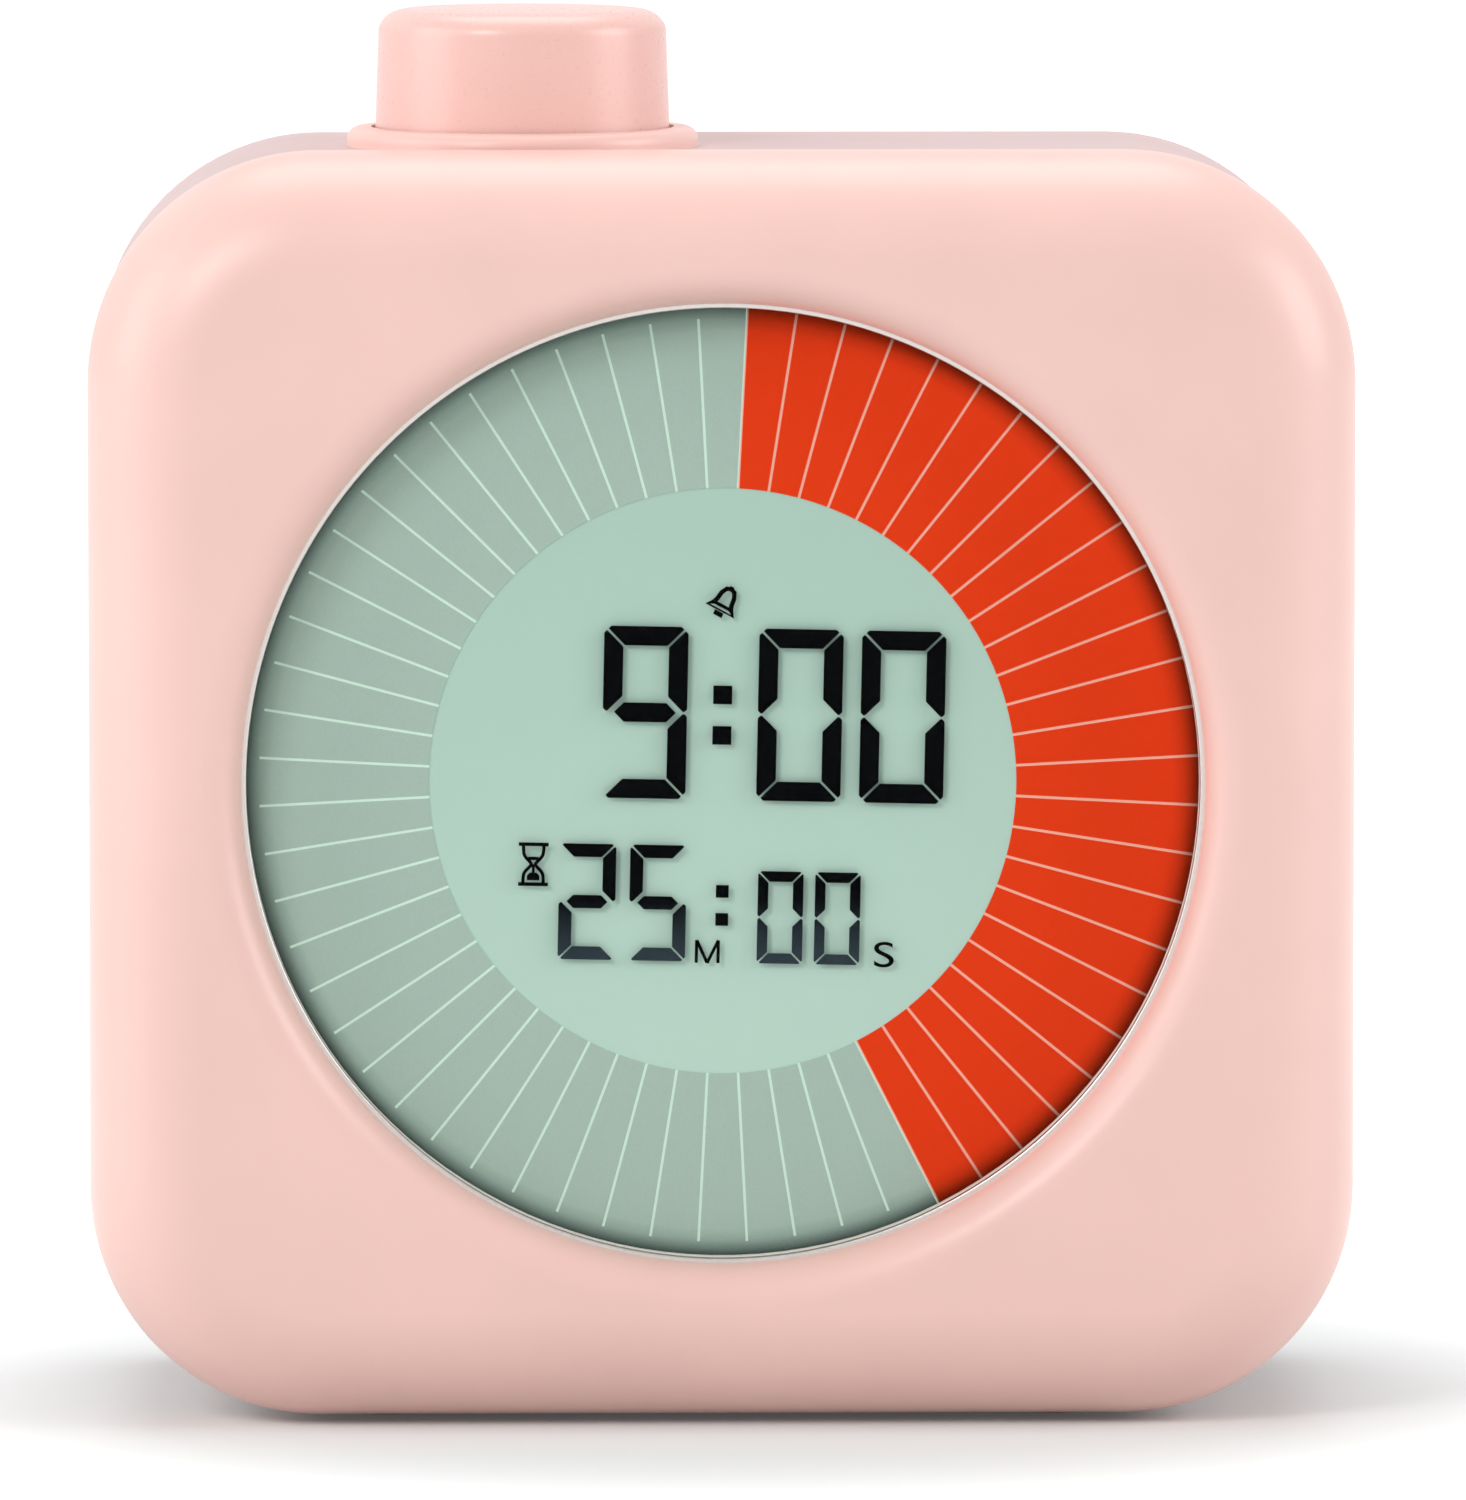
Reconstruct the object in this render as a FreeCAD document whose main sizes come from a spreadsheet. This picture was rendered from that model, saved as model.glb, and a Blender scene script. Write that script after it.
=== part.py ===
import FreeCAD, Part
import math
import os
import re

import Sketcher

# Visual countdown timer: a squarish two-part housing with a round display, a setting knob on
# top, and a battery bay, two buttons, a volume switch and a speaker at the back.
# Millimetres. X is to the right seen from the front, the display faces -Y, Z is up, and the
# origin is on the ground under the middle of the timer.

document = FreeCAD.newDocument("countdown_timer")
sheet = document.addObject("Spreadsheet::Sheet", "Sizes")

# Driving dimensions, each written once
DRIVING = {
    # housing
    "body_width": 90.0,
    "body_height": 90.0,
    "body_depth": 50.0,
    "corner_radius": 16.4,
    "front_round": 8.0,
    "rear_round": 8.0,
    "front_depth": 10.5,
    "rear_inset": 0.38,
    "wall": 2.2,
    "tongue_depth": 1.8,
    "tongue_thick": 0.8,
    "fit_gap": 0.15,
    "run_gap": 0.3,
    "shaft_gap": 0.05,
    # feet
    "foot_height": 0.5,
    "foot_radius": 4.0,
    "foot_pocket": 0.8,
    "foot_edge": 0.3,
    "foot_side": 24.0,
    "foot_margin": 0.3,
    "foot_rear_margin": 12.5,
    # display
    "window_rise": 0.4,
    "window_margin": 10.9,
    "lip_round": 2.4,
    "lip_land": 0.6,
    "trim_width": 0.5,
    "trim_seat": 2.1,
    "trim_thick": 0.6,
    "lens_thick": 1.0,
    "ring_wall": 1.6,
    "mask_thick": 0.6,
    "mask_margin": 0.3,
    "lcd_margin": 0.9,
    "lcd_clip": 10.0,
    "lcd_glass": 0.9,
    "lcd_ledge": 2.5,
    "film_thick": 0.3,
    "guide_thick": 2.2,
    "holder_wall": 1.4,
    "strip_length": 22.0,
    "strip_width": 1.6,
    "strip_gap": 2.0,
    # boards
    "board_thick": 1.6,
    "board_side": 6.0,
    "board_screw_edge": 1.6,
    "board_screw_rise": 14.0,
    "chip_width": 12.0,
    "chip_height": 1.4,
    "lamp_width": 3.0,
    "lamp_height": 1.4,
    # screws
    "screw_margin": 11.5,
    "screw_radius": 1.25,
    "screw_head_radius": 2.6,
    "screw_head": 1.8,
    "screw_length": 11.0,
    "screw_bite": 6.0,
    "screw_room": 0.8,
    "boss_radius": 3.0,
    "well_wall": 1.4,
    "small_screw_radius": 0.9,
    "small_head_radius": 1.7,
    "small_head": 1.1,
    "small_screw_length": 5.0,
    "cross_slot": 0.6,
    # knob and encoder
    "knob_side": -14.0,
    "knob_margin": 0.4,
    "knob_radius": 10.57,
    "knob_draft": 0.25,
    "knob_height": 9.5,
    "knob_lift": 0.83,
    "knob_round": 2.2,
    "knob_wall": 1.6,
    "knob_roof": 1.9,
    "knob_ribs": 6,
    "hub_radius": 4.6,
    "press_travel": 0.5,
    "collar_radius": 12.6,
    "collar_height": 1.4,
    "collar_round": 0.9,
    "collar_rib": 0.8,
    "collar_rib_radius": 11.6,
    "collar_rib_width": 0.8,
    "shaft_radius": 3.0,
    "shaft_flat": 1.5,
    "rotor_radius": 4.6,
    "rotor_thick": 1.2,
    "bushing_radius": 3.5,
    "bushing_length": 5.0,
    "bushing_plate": 1.2,
    "encoder_width": 12.4,
    "encoder_depth": 13.4,
    "encoder_height": 5.3,
    "encoder_floor": 0.6,
    "plunger_radius": 2.4,
    "plunger_thick": 1.2,
    "washer_thick": 0.4,
    "washer_radius": 5.6,
    "nut_height": 2.0,
    "nut_width": 10.0,
    "encoder_board_width": 22.0,
    "encoder_board_depth": 19.0,
    # speaker
    "speaker_margin": 0.4,
    "speaker_rim": 1.6,
    "speaker_depth": 3.2,
    "magnet_depth": 2.4,
    "cone_thick": 0.5,
    "gasket_thick": 0.8,
    "magnet_share": 0.5,
    "grille_margin": 3.1,
    "grille_rows": 2.5,
    "grille_share": 0.47,
    # battery bay
    "cell_radius": 5.25,
    "cell_length": 44.5,
    "cell_nub": 1.0,
    "cell_nub_radius": 1.9,
    "cell_pitch": 11.0,
    "bay_bottom": 11.0,
    "bay_wall": 1.4,
    "contact_thick": 0.4,
    "contact_dimple": 0.6,
    "spring_length": 4.2,
    "spring_wire": 0.3,
    "spring_base": 3.4,
    "spring_tip": 2.0,
    "spring_turns": 4,
    "door_thick": 2.0,
    "door_ledge": 1.3,
    "door_corner": 2.0,
    "door_nose": 0.6,
    "tab_width": 7.0,
    "tab_reach": 1.4,
    "tab_thick": 1.2,
    "tab_spread": 15.0,
    "latch_width": 12.0,
    "latch_length": 7.0,
    "latch_slot": 0.8,
    # rear panel
    "panel_rise": 3.5,
    "panel_width": 58.0,
    "panel_tall": 14.0,
    "panel_sink": 1.0,
    "panel_corner": 5.0,
    "button_radius": 4.0,
    "button_proud": 0.7,
    "button_crown": 0.5,
    "button_flange": 1.1,
    "button_flange_thick": 1.0,
    "button_side": -19.0,
    "button_pitch": 14.0,
    "button_travel": 0.6,
    "stem_radius": 1.7,
    "stem_length": 1.6,
    "tact_width": 6.0,
    "tact_height": 3.6,
    "tact_floor": 0.6,
    "slider_side": 15.0,
    "slider_travel": 4.0,
    "slider_width": 4.0,
    "slider_tall": 3.2,
    "slider_plate": 1.0,
    "slide_switch_width": 13.0,
    "slide_switch_tall": 6.0,
    "slide_switch_height": 3.6,
    "rear_board_width": 60.0,
    "rear_board_tall": 13.0,
    "post_radius": 2.2,
    "post_spread": 27.0,
}

# Places and sizes that follow from the driving ones
DERIVED = {
    "front_face": "-body_depth / 2",
    "rear_face": "body_depth / 2",
    "parting": "front_face + front_depth",
    "middle": "foot_height + body_height / 2",
    "roof": "foot_height + body_height - rear_inset",
    "ceiling": "roof - wall",
    "front_inside": "front_face + wall",
    "rear_inside": "rear_face - wall",
    # display stack, from the front to the back
    "face_width": "min(body_width; body_height)",
    "window_middle": "middle + window_rise",
    "window_radius": "face_width / 2 - window_margin",
    "trim_front": "front_face + lip_round + lip_land",
    "lens_front": "trim_front + trim_thick",
    "mask_front": "lens_front + lens_thick",
    "lcd_front": "mask_front + mask_thick",
    "film_front": "lcd_front + 2 * lcd_glass",
    "guide_front": "film_front + film_thick",
    "board_front": "guide_front + guide_thick",
    "board_back": "board_front + board_thick",
    "lens_radius": "window_radius + trim_seat",
    "lcd_width": "2 * window_radius + 2 * lcd_margin",
    "holder_half": "lcd_width / 2 + fit_gap + holder_wall",
    "ledge_bottom": "window_middle - lcd_width / 2 - lcd_ledge",
    "board_width": "lcd_width + 2 * board_side",
    "board_screw_side": "board_width / 2 - board_screw_edge",
    # screws
    "screw_spread": "face_width / 2 - screw_margin",
    "screw_seat": "parting + screw_length - screw_bite",
    "foot_base": "foot_height + rear_inset",
    "foot_front": "parting + foot_radius + foot_margin",
    "foot_rear": "rear_face - foot_rear_margin",
    # knob and encoder, from the bottom to the top
    "knob_depth": "parting + collar_radius + knob_margin",
    "collar_rib_outer": "collar_rib_radius + collar_rib_width / 2",
    "collar_rib_inner": "collar_rib_radius - collar_rib_width / 2",
    "knob_bottom": "roof + knob_lift",
    "knob_top": "knob_bottom + knob_height",
    "bushing_bottom": "ceiling - bushing_plate",
    "bushing_top": "ceiling + bushing_length",
    "encoder_bottom": "bushing_bottom - encoder_height",
    "encoder_board_bottom": "encoder_bottom - board_thick",
    "hub_bottom": "bushing_top + press_travel + run_gap",
    "bore_top": "knob_top - knob_roof",
    "plunger_bottom": "encoder_bottom + encoder_floor + press_travel + run_gap",
    "shaft_bottom": "plunger_bottom + plunger_thick + shaft_gap",
    "rotor_top": "bushing_bottom - run_gap",
    # battery bay and its door
    "bay_height": "2 * cell_radius + cell_pitch + 2 * run_gap",
    "bay_width": "cell_length + 2 * contact_thick + contact_dimple + spring_length + fit_gap",
    "bay_middle": "bay_bottom + bay_height / 2",
    "door_inside": "rear_face - door_thick",
    "bay_floor": "door_inside - 2 * cell_radius - 2 * run_gap",
    "cell_middle": "door_inside - run_gap - cell_radius",
    "door_bottom": "bay_bottom - door_ledge",
    "door_top": "bay_bottom + bay_height + door_ledge",
    "door_half": "bay_width / 2 + door_ledge",
    # rear panel, its buttons and its board
    "panel_height": "middle + panel_rise",
    "panel_face": "rear_face - panel_sink",
    "panel_inside": "panel_face - wall",
    "flange_back": "panel_inside - run_gap - button_flange_thick",
    "stem_top": "flange_back",
    "rear_board_back": "stem_top - stem_length / 2 - tact_height",
    "rear_board_front": "rear_board_back - board_thick",
    # speaker, between the rear panel and the inner round under the roof
    "speaker_low": "panel_height + panel_tall / 2 + wall",
    "speaker_high": "ceiling - rear_round + wall",
    "speaker_height": "(speaker_low + speaker_high) / 2",
    "speaker_radius": "(speaker_high - speaker_low) / 2 - speaker_margin",
    "speaker_back": "rear_inside - gasket_thick",
    "magnet_radius": "speaker_radius * magnet_share",
    "grille_reach": "speaker_radius - grille_margin",
    "grille_pitch": "grille_reach / grille_rows",
    "grille_slot": "grille_pitch * grille_share",
}

for row, (alias, number) in enumerate(DRIVING.items(), start=1):
    sheet.set("A%d" % row, alias)
    sheet.set("B%d" % row, "%g" % number)
    sheet.setAlias("B%d" % row, alias)
document.recompute()


def spelled(text):
    """Return an expression with each size name led back to its cell in the sheet."""
    def expand(match):
        word = match.group(0)
        if word in DERIVED:
            return "(" + spelled(DERIVED[word]) + ")"
        if word in DRIVING:
            return "Sizes." + word
        return word
    return re.sub(r"[a-z_]+", expand, str(text))


def measure(text):
    """Return the present value of an expression of size names."""
    return float(sheet.evalExpression(spelled(text)))


def bind(item, path, text):
    """Tie a property, or a part of one, to an expression of size names."""
    item.setExpression(path, spelled(text))


PLANE_NORMALS = {"XY_Plane": 1, "XZ_Plane": -1, "YZ_Plane": 1}


def new_body(label):
    """Start the body of one piece, under the piece's own name."""
    body = document.addObject("PartDesign::Body", label)
    body.Label = label
    return body


def new_sketch(body, name, plane, place):
    """Add a sketch on one of the body's planes, moved along that plane's axis to a place."""
    sketch = body.newObject("Sketcher::SketchObject", name)
    support = [item for item in body.Origin.OriginFeatures if item.Role == plane][0]
    sketch.AttachmentSupport = [(support, "")]
    sketch.MapMode = "FlatFace"
    side = "" if PLANE_NORMALS[plane] > 0 else "-1 * "
    bind(sketch, "AttachmentOffset.Base.z", side + "(" + place + ")")
    return sketch


def pin_point(sketch, edge, end, across, up):
    """Dimension one point of a sketch from the sketch's origin."""
    for kind, text in (("DistanceX", across), ("DistanceY", up)):
        place = sketch.addConstraint(Sketcher.Constraint(kind, -1, 1, edge, end, measure(text)))
        bind(sketch, "Constraints[%d]" % place, text)


def pin_radius(sketch, edge, radius):
    """Dimension the radius of a circle or an arc."""
    place = sketch.addConstraint(Sketcher.Constraint("Radius", edge, measure(radius)))
    bind(sketch, "Constraints[%d]" % place, radius)


def draw_circle(sketch, across, up, radius):
    """Draw a dimensioned circle."""
    centre = FreeCAD.Vector(measure(across), measure(up), 0)
    circle = Part.Circle(centre, FreeCAD.Vector(0, 0, 1), measure(radius))
    edge = sketch.addGeometry(circle, False)
    pin_point(sketch, edge, 3, across, up)
    pin_radius(sketch, edge, radius)


def draw_outline(sketch, steps):
    """Draw a closed outline.

    Each step is (across, up) for a straight side to that point, or (across, up, radius, turn)
    for an arc to it, with its centre to the left of the chord for turn 1, to the right for -1.
    """
    ends = [FreeCAD.Vector(measure(step[0]), measure(step[1]), 0) for step in steps]
    edges = []
    for index, step in enumerate(steps):
        start = ends[index - 1]
        end = ends[index]
        if len(step) == 2:
            edges.append((sketch.addGeometry(Part.LineSegment(start, end), False), 1, 2))
            continue
        radius = measure(step[2])
        chord = end - start
        rise = math.sqrt(max(radius ** 2 - (chord.Length / 2) ** 2, 0.0))
        left = FreeCAD.Vector(-chord.y, chord.x, 0).normalize()
        centre = (start + end) * 0.5 + left * rise * step[3]
        outward = ((start + end) * 0.5 - left * step[3] * radius - centre).normalize()
        if rise < 1e-9:
            outward = left * -step[3]
        arc = Part.Arc(start, centre + outward * radius, end)
        edge = sketch.addGeometry(arc, False)
        turned = sketch.getPoint(edge, 1).distanceToPoint(start) > 1e-6
        edges.append((edge, 2, 1) if turned else (edge, 1, 2))
        pin_radius(sketch, edge, step[2])
    for index, (edge, first, last) in enumerate(edges):
        following, follow_first, _ = edges[(index + 1) % len(edges)]
        sketch.addConstraint(
            Sketcher.Constraint("Coincident", edge, last, following, follow_first))
        pin_point(sketch, edge, last, steps[index][0], steps[index][1])


def rounded_box(across, up, width, height, radius):
    """Return the steps of an upright rounded rectangle about a middle point."""
    left, right = "%s - (%s) / 2" % (across, width), "%s + (%s) / 2" % (across, width)
    low, high = "%s - (%s) / 2" % (up, height), "%s + (%s) / 2" % (up, height)
    return [
        (right + " - (%s)" % radius, low),
        (right, low + " + (%s)" % radius, radius, 1),
        (right, high + " - (%s)" % radius),
        (right + " - (%s)" % radius, high, radius, 1),
        (left + " + (%s)" % radius, high),
        (left, high + " - (%s)" % radius, radius, 1),
        (left, low + " + (%s)" % radius),
        (left + " + (%s)" % radius, low, radius, 1),
    ]


def plain_box(across, up, width, height):
    """Return the steps of an upright rectangle about a middle point."""
    left, right = "%s - (%s) / 2" % (across, width), "%s + (%s) / 2" % (across, width)
    low, high = "%s - (%s) / 2" % (up, height), "%s + (%s) / 2" % (up, height)
    return [(right, low), (right, high), (left, high), (left, low)]


def clipped_box(across, up, half_width, half_height, clip):
    """Return the steps of a rectangle whose four corners are cut off at 45 degrees."""
    steps = []
    for side, rise, order in ((1, -1, 1), (1, 1, 0), (-1, 1, 1), (-1, -1, 0)):
        flat = ("%s + %d * (%s - (%s))" % (across, side, half_width, clip),
                "%s + %d * (%s)" % (up, rise, half_height))
        steep = ("%s + %d * (%s)" % (across, side, half_width),
                 "%s + %d * (%s - (%s))" % (up, rise, half_height, clip))
        steps += [flat, steep] if order else [steep, flat]
    return steps


def extrude(body, name, plane, start, end, drawings, cut=False):
    """Pad or pocket drawings along the plane's normal, from a start place to an end place.

    Each drawing is a circle as (across, up, radius) or a list of outline steps. XZ_Plane faces
    the front, so there the end lies nearer to the front than the start.
    """
    sketch = new_sketch(body, name + "_sketch", plane, start)
    for drawing in drawings:
        if isinstance(drawing, tuple):
            draw_circle(sketch, *drawing)
        else:
            draw_outline(sketch, drawing)
    kind = "PartDesign::Pocket" if cut else "PartDesign::Pad"
    feature = body.newObject(kind, name)
    feature.Profile = sketch
    feature.Reversed = cut
    side = "" if PLANE_NORMALS[plane] > 0 else "-1 * "
    bind(feature, "Length", side + "((%s) - (%s))" % (end, start))
    return finish(body, feature, cut)


def revolve(body, name, plane, place, across, steps, cut=False, upright=True):
    """Turn an outline about an upright or level line that passes through a place."""
    sketch = new_sketch(body, name + "_sketch", plane, place)
    draw_outline(sketch, steps)
    ends = [(across, "0"), (across, "10")] if upright else [("0", across), ("10", across)]
    points = [FreeCAD.Vector(measure(x), measure(y), 0) for x, y in ends]
    line = sketch.addGeometry(Part.LineSegment(*points), True)
    for end, (x, y) in enumerate(ends, start=1):
        pin_point(sketch, line, end, x, y)
    kind = "PartDesign::Groove" if cut else "PartDesign::Revolution"
    feature = body.newObject(kind, name)
    feature.Profile = sketch
    feature.ReferenceAxis = (sketch, ["Axis0"])
    feature.Angle = 360
    return finish(body, feature, cut)


def finish(body, feature, cut=False):
    """Make a feature the body's last one, and test that it added or removed material."""
    body.Tip = feature
    document.recompute()
    before = LAST_VOLUMES.get(body.Label, 0.0)
    after = feature.Shape.Volume
    if (after > before - 1e-6) if cut else (after < before + 1e-6):
        raise RuntimeError("%s of %s changes nothing (%.3f to %.3f)" % (
            feature.Name, body.Label, before, after))
    LAST_VOLUMES[body.Label] = after
    return feature


LAST_VOLUMES = {}


def edges_where(shape, test):
    """Return the names of a shape's edges whose points all pass a test."""
    names = []
    for number, edge in enumerate(shape.Edges, start=1):
        first, last = edge.ParameterRange
        points = [edge.valueAt(first + (last - first) * part / 4) for part in range(5)]
        if all(test(point) for point in points):
            names.append("Edge%d" % number)
    return names


def soften(body, name, test, size, chamfer=False):
    """Round or bevel the edges of the body's last feature that pass a test."""
    base = body.Tip
    kind = "PartDesign::Chamfer" if chamfer else "PartDesign::Fillet"
    names = edges_where(base.Shape, test)
    if not names:
        raise RuntimeError("%s of %s finds no edge" % (name, body.Label))
    feature = body.newObject(kind, name)
    feature.Base = (base, names)
    bind(feature, "Size" if chamfer else "Radius", size)
    return finish(body, feature, True)


def hollow_out(body, name, place, wall):
    """Turn the body into a shell of one wall thickness, open at its flat face Y = place."""
    base = body.Tip
    names = ["Face%d" % number for number, face in enumerate(base.Shape.Faces, start=1)
             if near(face.BoundBox.YMin, measure(place)) and
             near(face.BoundBox.YMax, measure(place))]
    feature = body.newObject("PartDesign::Thickness", name)
    feature.Base = (base, names)
    feature.Reversed = True
    bind(feature, "Value", wall)
    return finish(body, feature, True)


def near(one, other):
    """Tell whether two lengths are the same to the modeller's tolerance."""
    return abs(one - other) < 1e-4


def at_depth(place):
    """Return a test for points in the plane Y = place."""
    return lambda point: near(point.y, measure(place))


def at_height(place):
    """Return a test for points in the plane Z = place."""
    return lambda point: near(point.z, measure(place))


def four_corners(spread):
    """Return the middles of the four corner screws, as expressions."""
    return [("%d * %s" % (side, spread), "middle + %d * %s" % (rise, spread))
            for side in (-1, 1) for rise in (-1, 1)]


BUTTON_SIDES = ("button_side", "button_side + button_pitch")
FOOT_PLACES = [("%d * foot_side" % side, place)
               for side in (-1, 1) for place in ("foot_front", "foot_rear")]
BOARD_SCREWS = [("%d * board_screw_side" % side, "window_middle + %d * board_screw_rise" % rise)
                for side in (-1, 1) for rise in (-1, 1)]


def housing_outline(inset):
    """Return the steps of the housing's rounded square, drawn in by an inset."""
    return rounded_box("0", "middle", "body_width - 2 * (%s)" % inset,
                       "body_height - 2 * (%s)" % inset, "corner_radius - (%s)" % inset)


def front_shell():
    """Front half of the housing: a dished face with a rolled window lip and a rear tongue."""
    body = new_body("front_shell")
    extrude(body, "block", "XZ_Plane", "parting", "front_face",
            [housing_outline("0")])
    soften(body, "face_round", at_depth("front_face"), "front_round")
    hollow_out(body, "hollow", "parting", "wall")
    extrude(body, "lens_ring", "XZ_Plane", "mask_front", "front_inside - wall / 2",
            [("0", "window_middle", "lens_radius + fit_gap + ring_wall")])
    extrude(body, "lens_seat", "XZ_Plane", "mask_front", "trim_front",
            [("0", "window_middle", "lens_radius + fit_gap")], cut=True)
    revolve(body, "window", "YZ_Plane", "0", "window_middle", [
        ("front_face", "window_middle"),
        ("front_face", "window_middle + window_radius + lip_round"),
        ("front_face + lip_round", "window_middle + window_radius", "lip_round", -1),
        ("lens_front", "window_middle + window_radius"),
        ("lens_front", "window_middle"),
    ], cut=True, upright=False)
    extrude(body, "tongue", "XZ_Plane", "parting + tongue_depth", "parting - tongue_depth",
            [housing_outline("wall - tongue_thick"), housing_outline("wall")])
    extrude(body, "board_posts", "XZ_Plane", "board_front", "front_inside + wall / 2",
            [(x, z, "post_radius") for x, z in BOARD_SCREWS])
    extrude(body, "board_pilots", "XZ_Plane", "board_front",
            "board_front - small_screw_length",
            [(x, z, "small_screw_radius + shaft_gap") for x, z in BOARD_SCREWS], cut=True)
    extrude(body, "bosses", "XZ_Plane", "parting", "front_inside - wall / 2",
            [(x, z, "boss_radius") for x, z in four_corners("screw_spread")])
    extrude(body, "pilots", "XZ_Plane", "parting", "parting - screw_bite - screw_room",
            [(x, z, "screw_radius + shaft_gap") for x, z in four_corners("screw_spread")],
            cut=True)
    return body


def rear_shell():
    """Rear half: deep shell with the knob seat, battery bay, button panel and speaker grille."""
    body = new_body("rear_shell")
    extrude(body, "block", "XZ_Plane", "rear_face", "parting", [housing_outline("rear_inset")])
    soften(body, "back_round", at_depth("rear_face"), "rear_round")
    hollow_out(body, "hollow", "parting", "wall")
    extrude(body, "rebate", "XZ_Plane", "parting + tongue_depth + fit_gap", "parting",
            [housing_outline("wall - tongue_thick - fit_gap")], cut=True)
    # screw tubes reach from the rear wall to the front bosses
    corners = four_corners("screw_spread")
    extrude(body, "tubes", "XZ_Plane", "rear_inside + wall / 2", "parting",
            [(x, z, "screw_head_radius + run_gap + well_wall") for x, z in corners])
    extrude(body, "wells", "XZ_Plane", "rear_face", "screw_seat",
            [(x, z, "screw_head_radius + run_gap") for x, z in corners], cut=True)
    extrude(body, "screw_holes", "XZ_Plane", "screw_seat", "parting",
            [(x, z, "screw_radius + fit_gap") for x, z in corners], cut=True)
    # battery bay: a box hung from the rear wall, open to the back under the door
    extrude(body, "bay_box", "XZ_Plane", "rear_inside + wall / 2", "bay_floor - bay_wall",
            [plain_box("0", "bay_middle", "bay_width + 2 * bay_wall",
                       "bay_height + 2 * bay_wall")])
    extrude(body, "bay_hollow", "XZ_Plane", "rear_face", "bay_floor",
            [plain_box("0", "bay_middle", "bay_width", "bay_height")], cut=True)
    extrude(body, "door_seat", "XZ_Plane", "rear_face", "door_inside - run_gap",
            [rounded_box("0", "(door_bottom + door_top) / 2", "2 * (door_half + run_gap)",
                         "door_top - door_bottom + 2 * run_gap", "door_corner + run_gap")],
            cut=True)
    extrude(body, "door_foot_seat", "XZ_Plane", "rear_face", "door_inside - run_gap",
            [plain_box("0", "(door_bottom - run_gap + bay_middle) / 2",
                       "2 * (door_half + run_gap)", "bay_middle - door_bottom + run_gap")],
            cut=True)
    extrude(body, "tab_slots", "XZ_Plane", "rear_inside",
            "rear_inside - 2 * run_gap - tab_thick - tab_reach",
            [plain_box("%d * tab_spread" % side, "door_bottom",
                       "tab_width + 2 * run_gap", "2 * (tab_reach + 2 * run_gap)")
             for side in (-1, 1)], cut=True)
    # ridges between the cells, hollowed where the cells lie
    extrude(body, "cradle", "XZ_Plane", "bay_floor + cell_radius / 2", "bay_floor - bay_wall / 2",
            [plain_box("%d * cell_length / 4" % side, "bay_middle", "bay_wall",
                       "cell_pitch - cell_radius") for side in (-1, 1)])
    extrude(body, "cell_beds", "YZ_Plane", "-cell_length / 2", "cell_length / 2",
            [("cell_middle", height, "cell_radius + run_gap / 2")
             for height in cell_middles()], cut=True)
    # speaker: a ring that holds it, and slots through the wall
    extrude(body, "speaker_ring", "XZ_Plane", "rear_inside + wall / 2",
            "speaker_back - speaker_depth",
            [("0", "speaker_height", "speaker_radius + fit_gap + speaker_rim"),
             ("0", "speaker_height", "speaker_radius + fit_gap")])
    slots = []
    for step in (-2, -1, 0, 1, 2):
        height = "speaker_height + %d * grille_pitch" % step
        half = "sqrt(grille_reach ^ 2 - (%d * grille_pitch) ^ 2)" % step
        slots.append(rounded_box("0", height, "2 * " + half, "grille_slot",
                                 "grille_slot / 2.5"))
    extrude(body, "grille", "XZ_Plane", "rear_face", "speaker_back", slots, cut=True)
    # sunken panel with the buttons and the volume switch
    extrude(body, "panel_back", "XZ_Plane", "rear_inside + wall / 2", "panel_inside",
            [rounded_box("0", "panel_height", "panel_width + 2 * wall", "panel_tall + 2 * wall",
                         "panel_corner + wall")])
    extrude(body, "panel", "XZ_Plane", "rear_face", "panel_face",
            [rounded_box("0", "panel_height", "panel_width", "panel_tall", "panel_corner")],
            cut=True)
    extrude(body, "button_holes", "XZ_Plane", "panel_face", "panel_inside",
            [(side, "panel_height", "button_radius + run_gap") for side in BUTTON_SIDES]
            + [rounded_box("slider_side", "panel_height",
                           "slider_width + slider_travel + 2 * run_gap",
                           "slider_tall + 2 * run_gap", "slider_tall / 4")], cut=True)
    extrude(body, "board_posts", "XZ_Plane", "panel_inside + wall / 2", "rear_board_back",
            [("%d * post_spread" % side, "panel_height", "post_radius") for side in (-1, 1)])
    extrude(body, "post_pilots", "XZ_Plane", "panel_inside", "rear_board_back",
            [("%d * post_spread" % side, "panel_height", "small_screw_radius + shaft_gap")
             for side in (-1, 1)], cut=True)
    # knob seat on the roof, and pockets for the feet underneath
    extrude(body, "bushing_hole", "XY_Plane", "ceiling", "roof",
            [("knob_side", "knob_depth", "bushing_radius + fit_gap")], cut=True)
    extrude(body, "collar_groove", "XY_Plane", "roof - collar_rib - fit_gap", "roof",
            [("knob_side", "knob_depth", "collar_rib_outer + fit_gap"),
             ("knob_side", "knob_depth", "collar_rib_inner - fit_gap")], cut=True)
    extrude(body, "foot_pockets", "XY_Plane", "foot_base", "foot_base + foot_pocket",
            [(x, y, "foot_radius + fit_gap") for x, y in FOOT_PLACES], cut=True)
    return body


def lens_trim():
    """Bright ring that shows round the lens and seats behind the housing's window."""
    body = new_body("lens_trim")
    extrude(body, "ring", "XZ_Plane", "lens_front", "trim_front",
            [("0", "window_middle", "lens_radius"),
             ("0", "window_middle", "window_radius - trim_width")])
    soften(body, "inner_edge", lambda point: near(point.y, measure("trim_front")) and
           math.hypot(point.x, point.z - measure("window_middle")) < measure("window_radius"),
           "trim_thick / 4")
    return body


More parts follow.
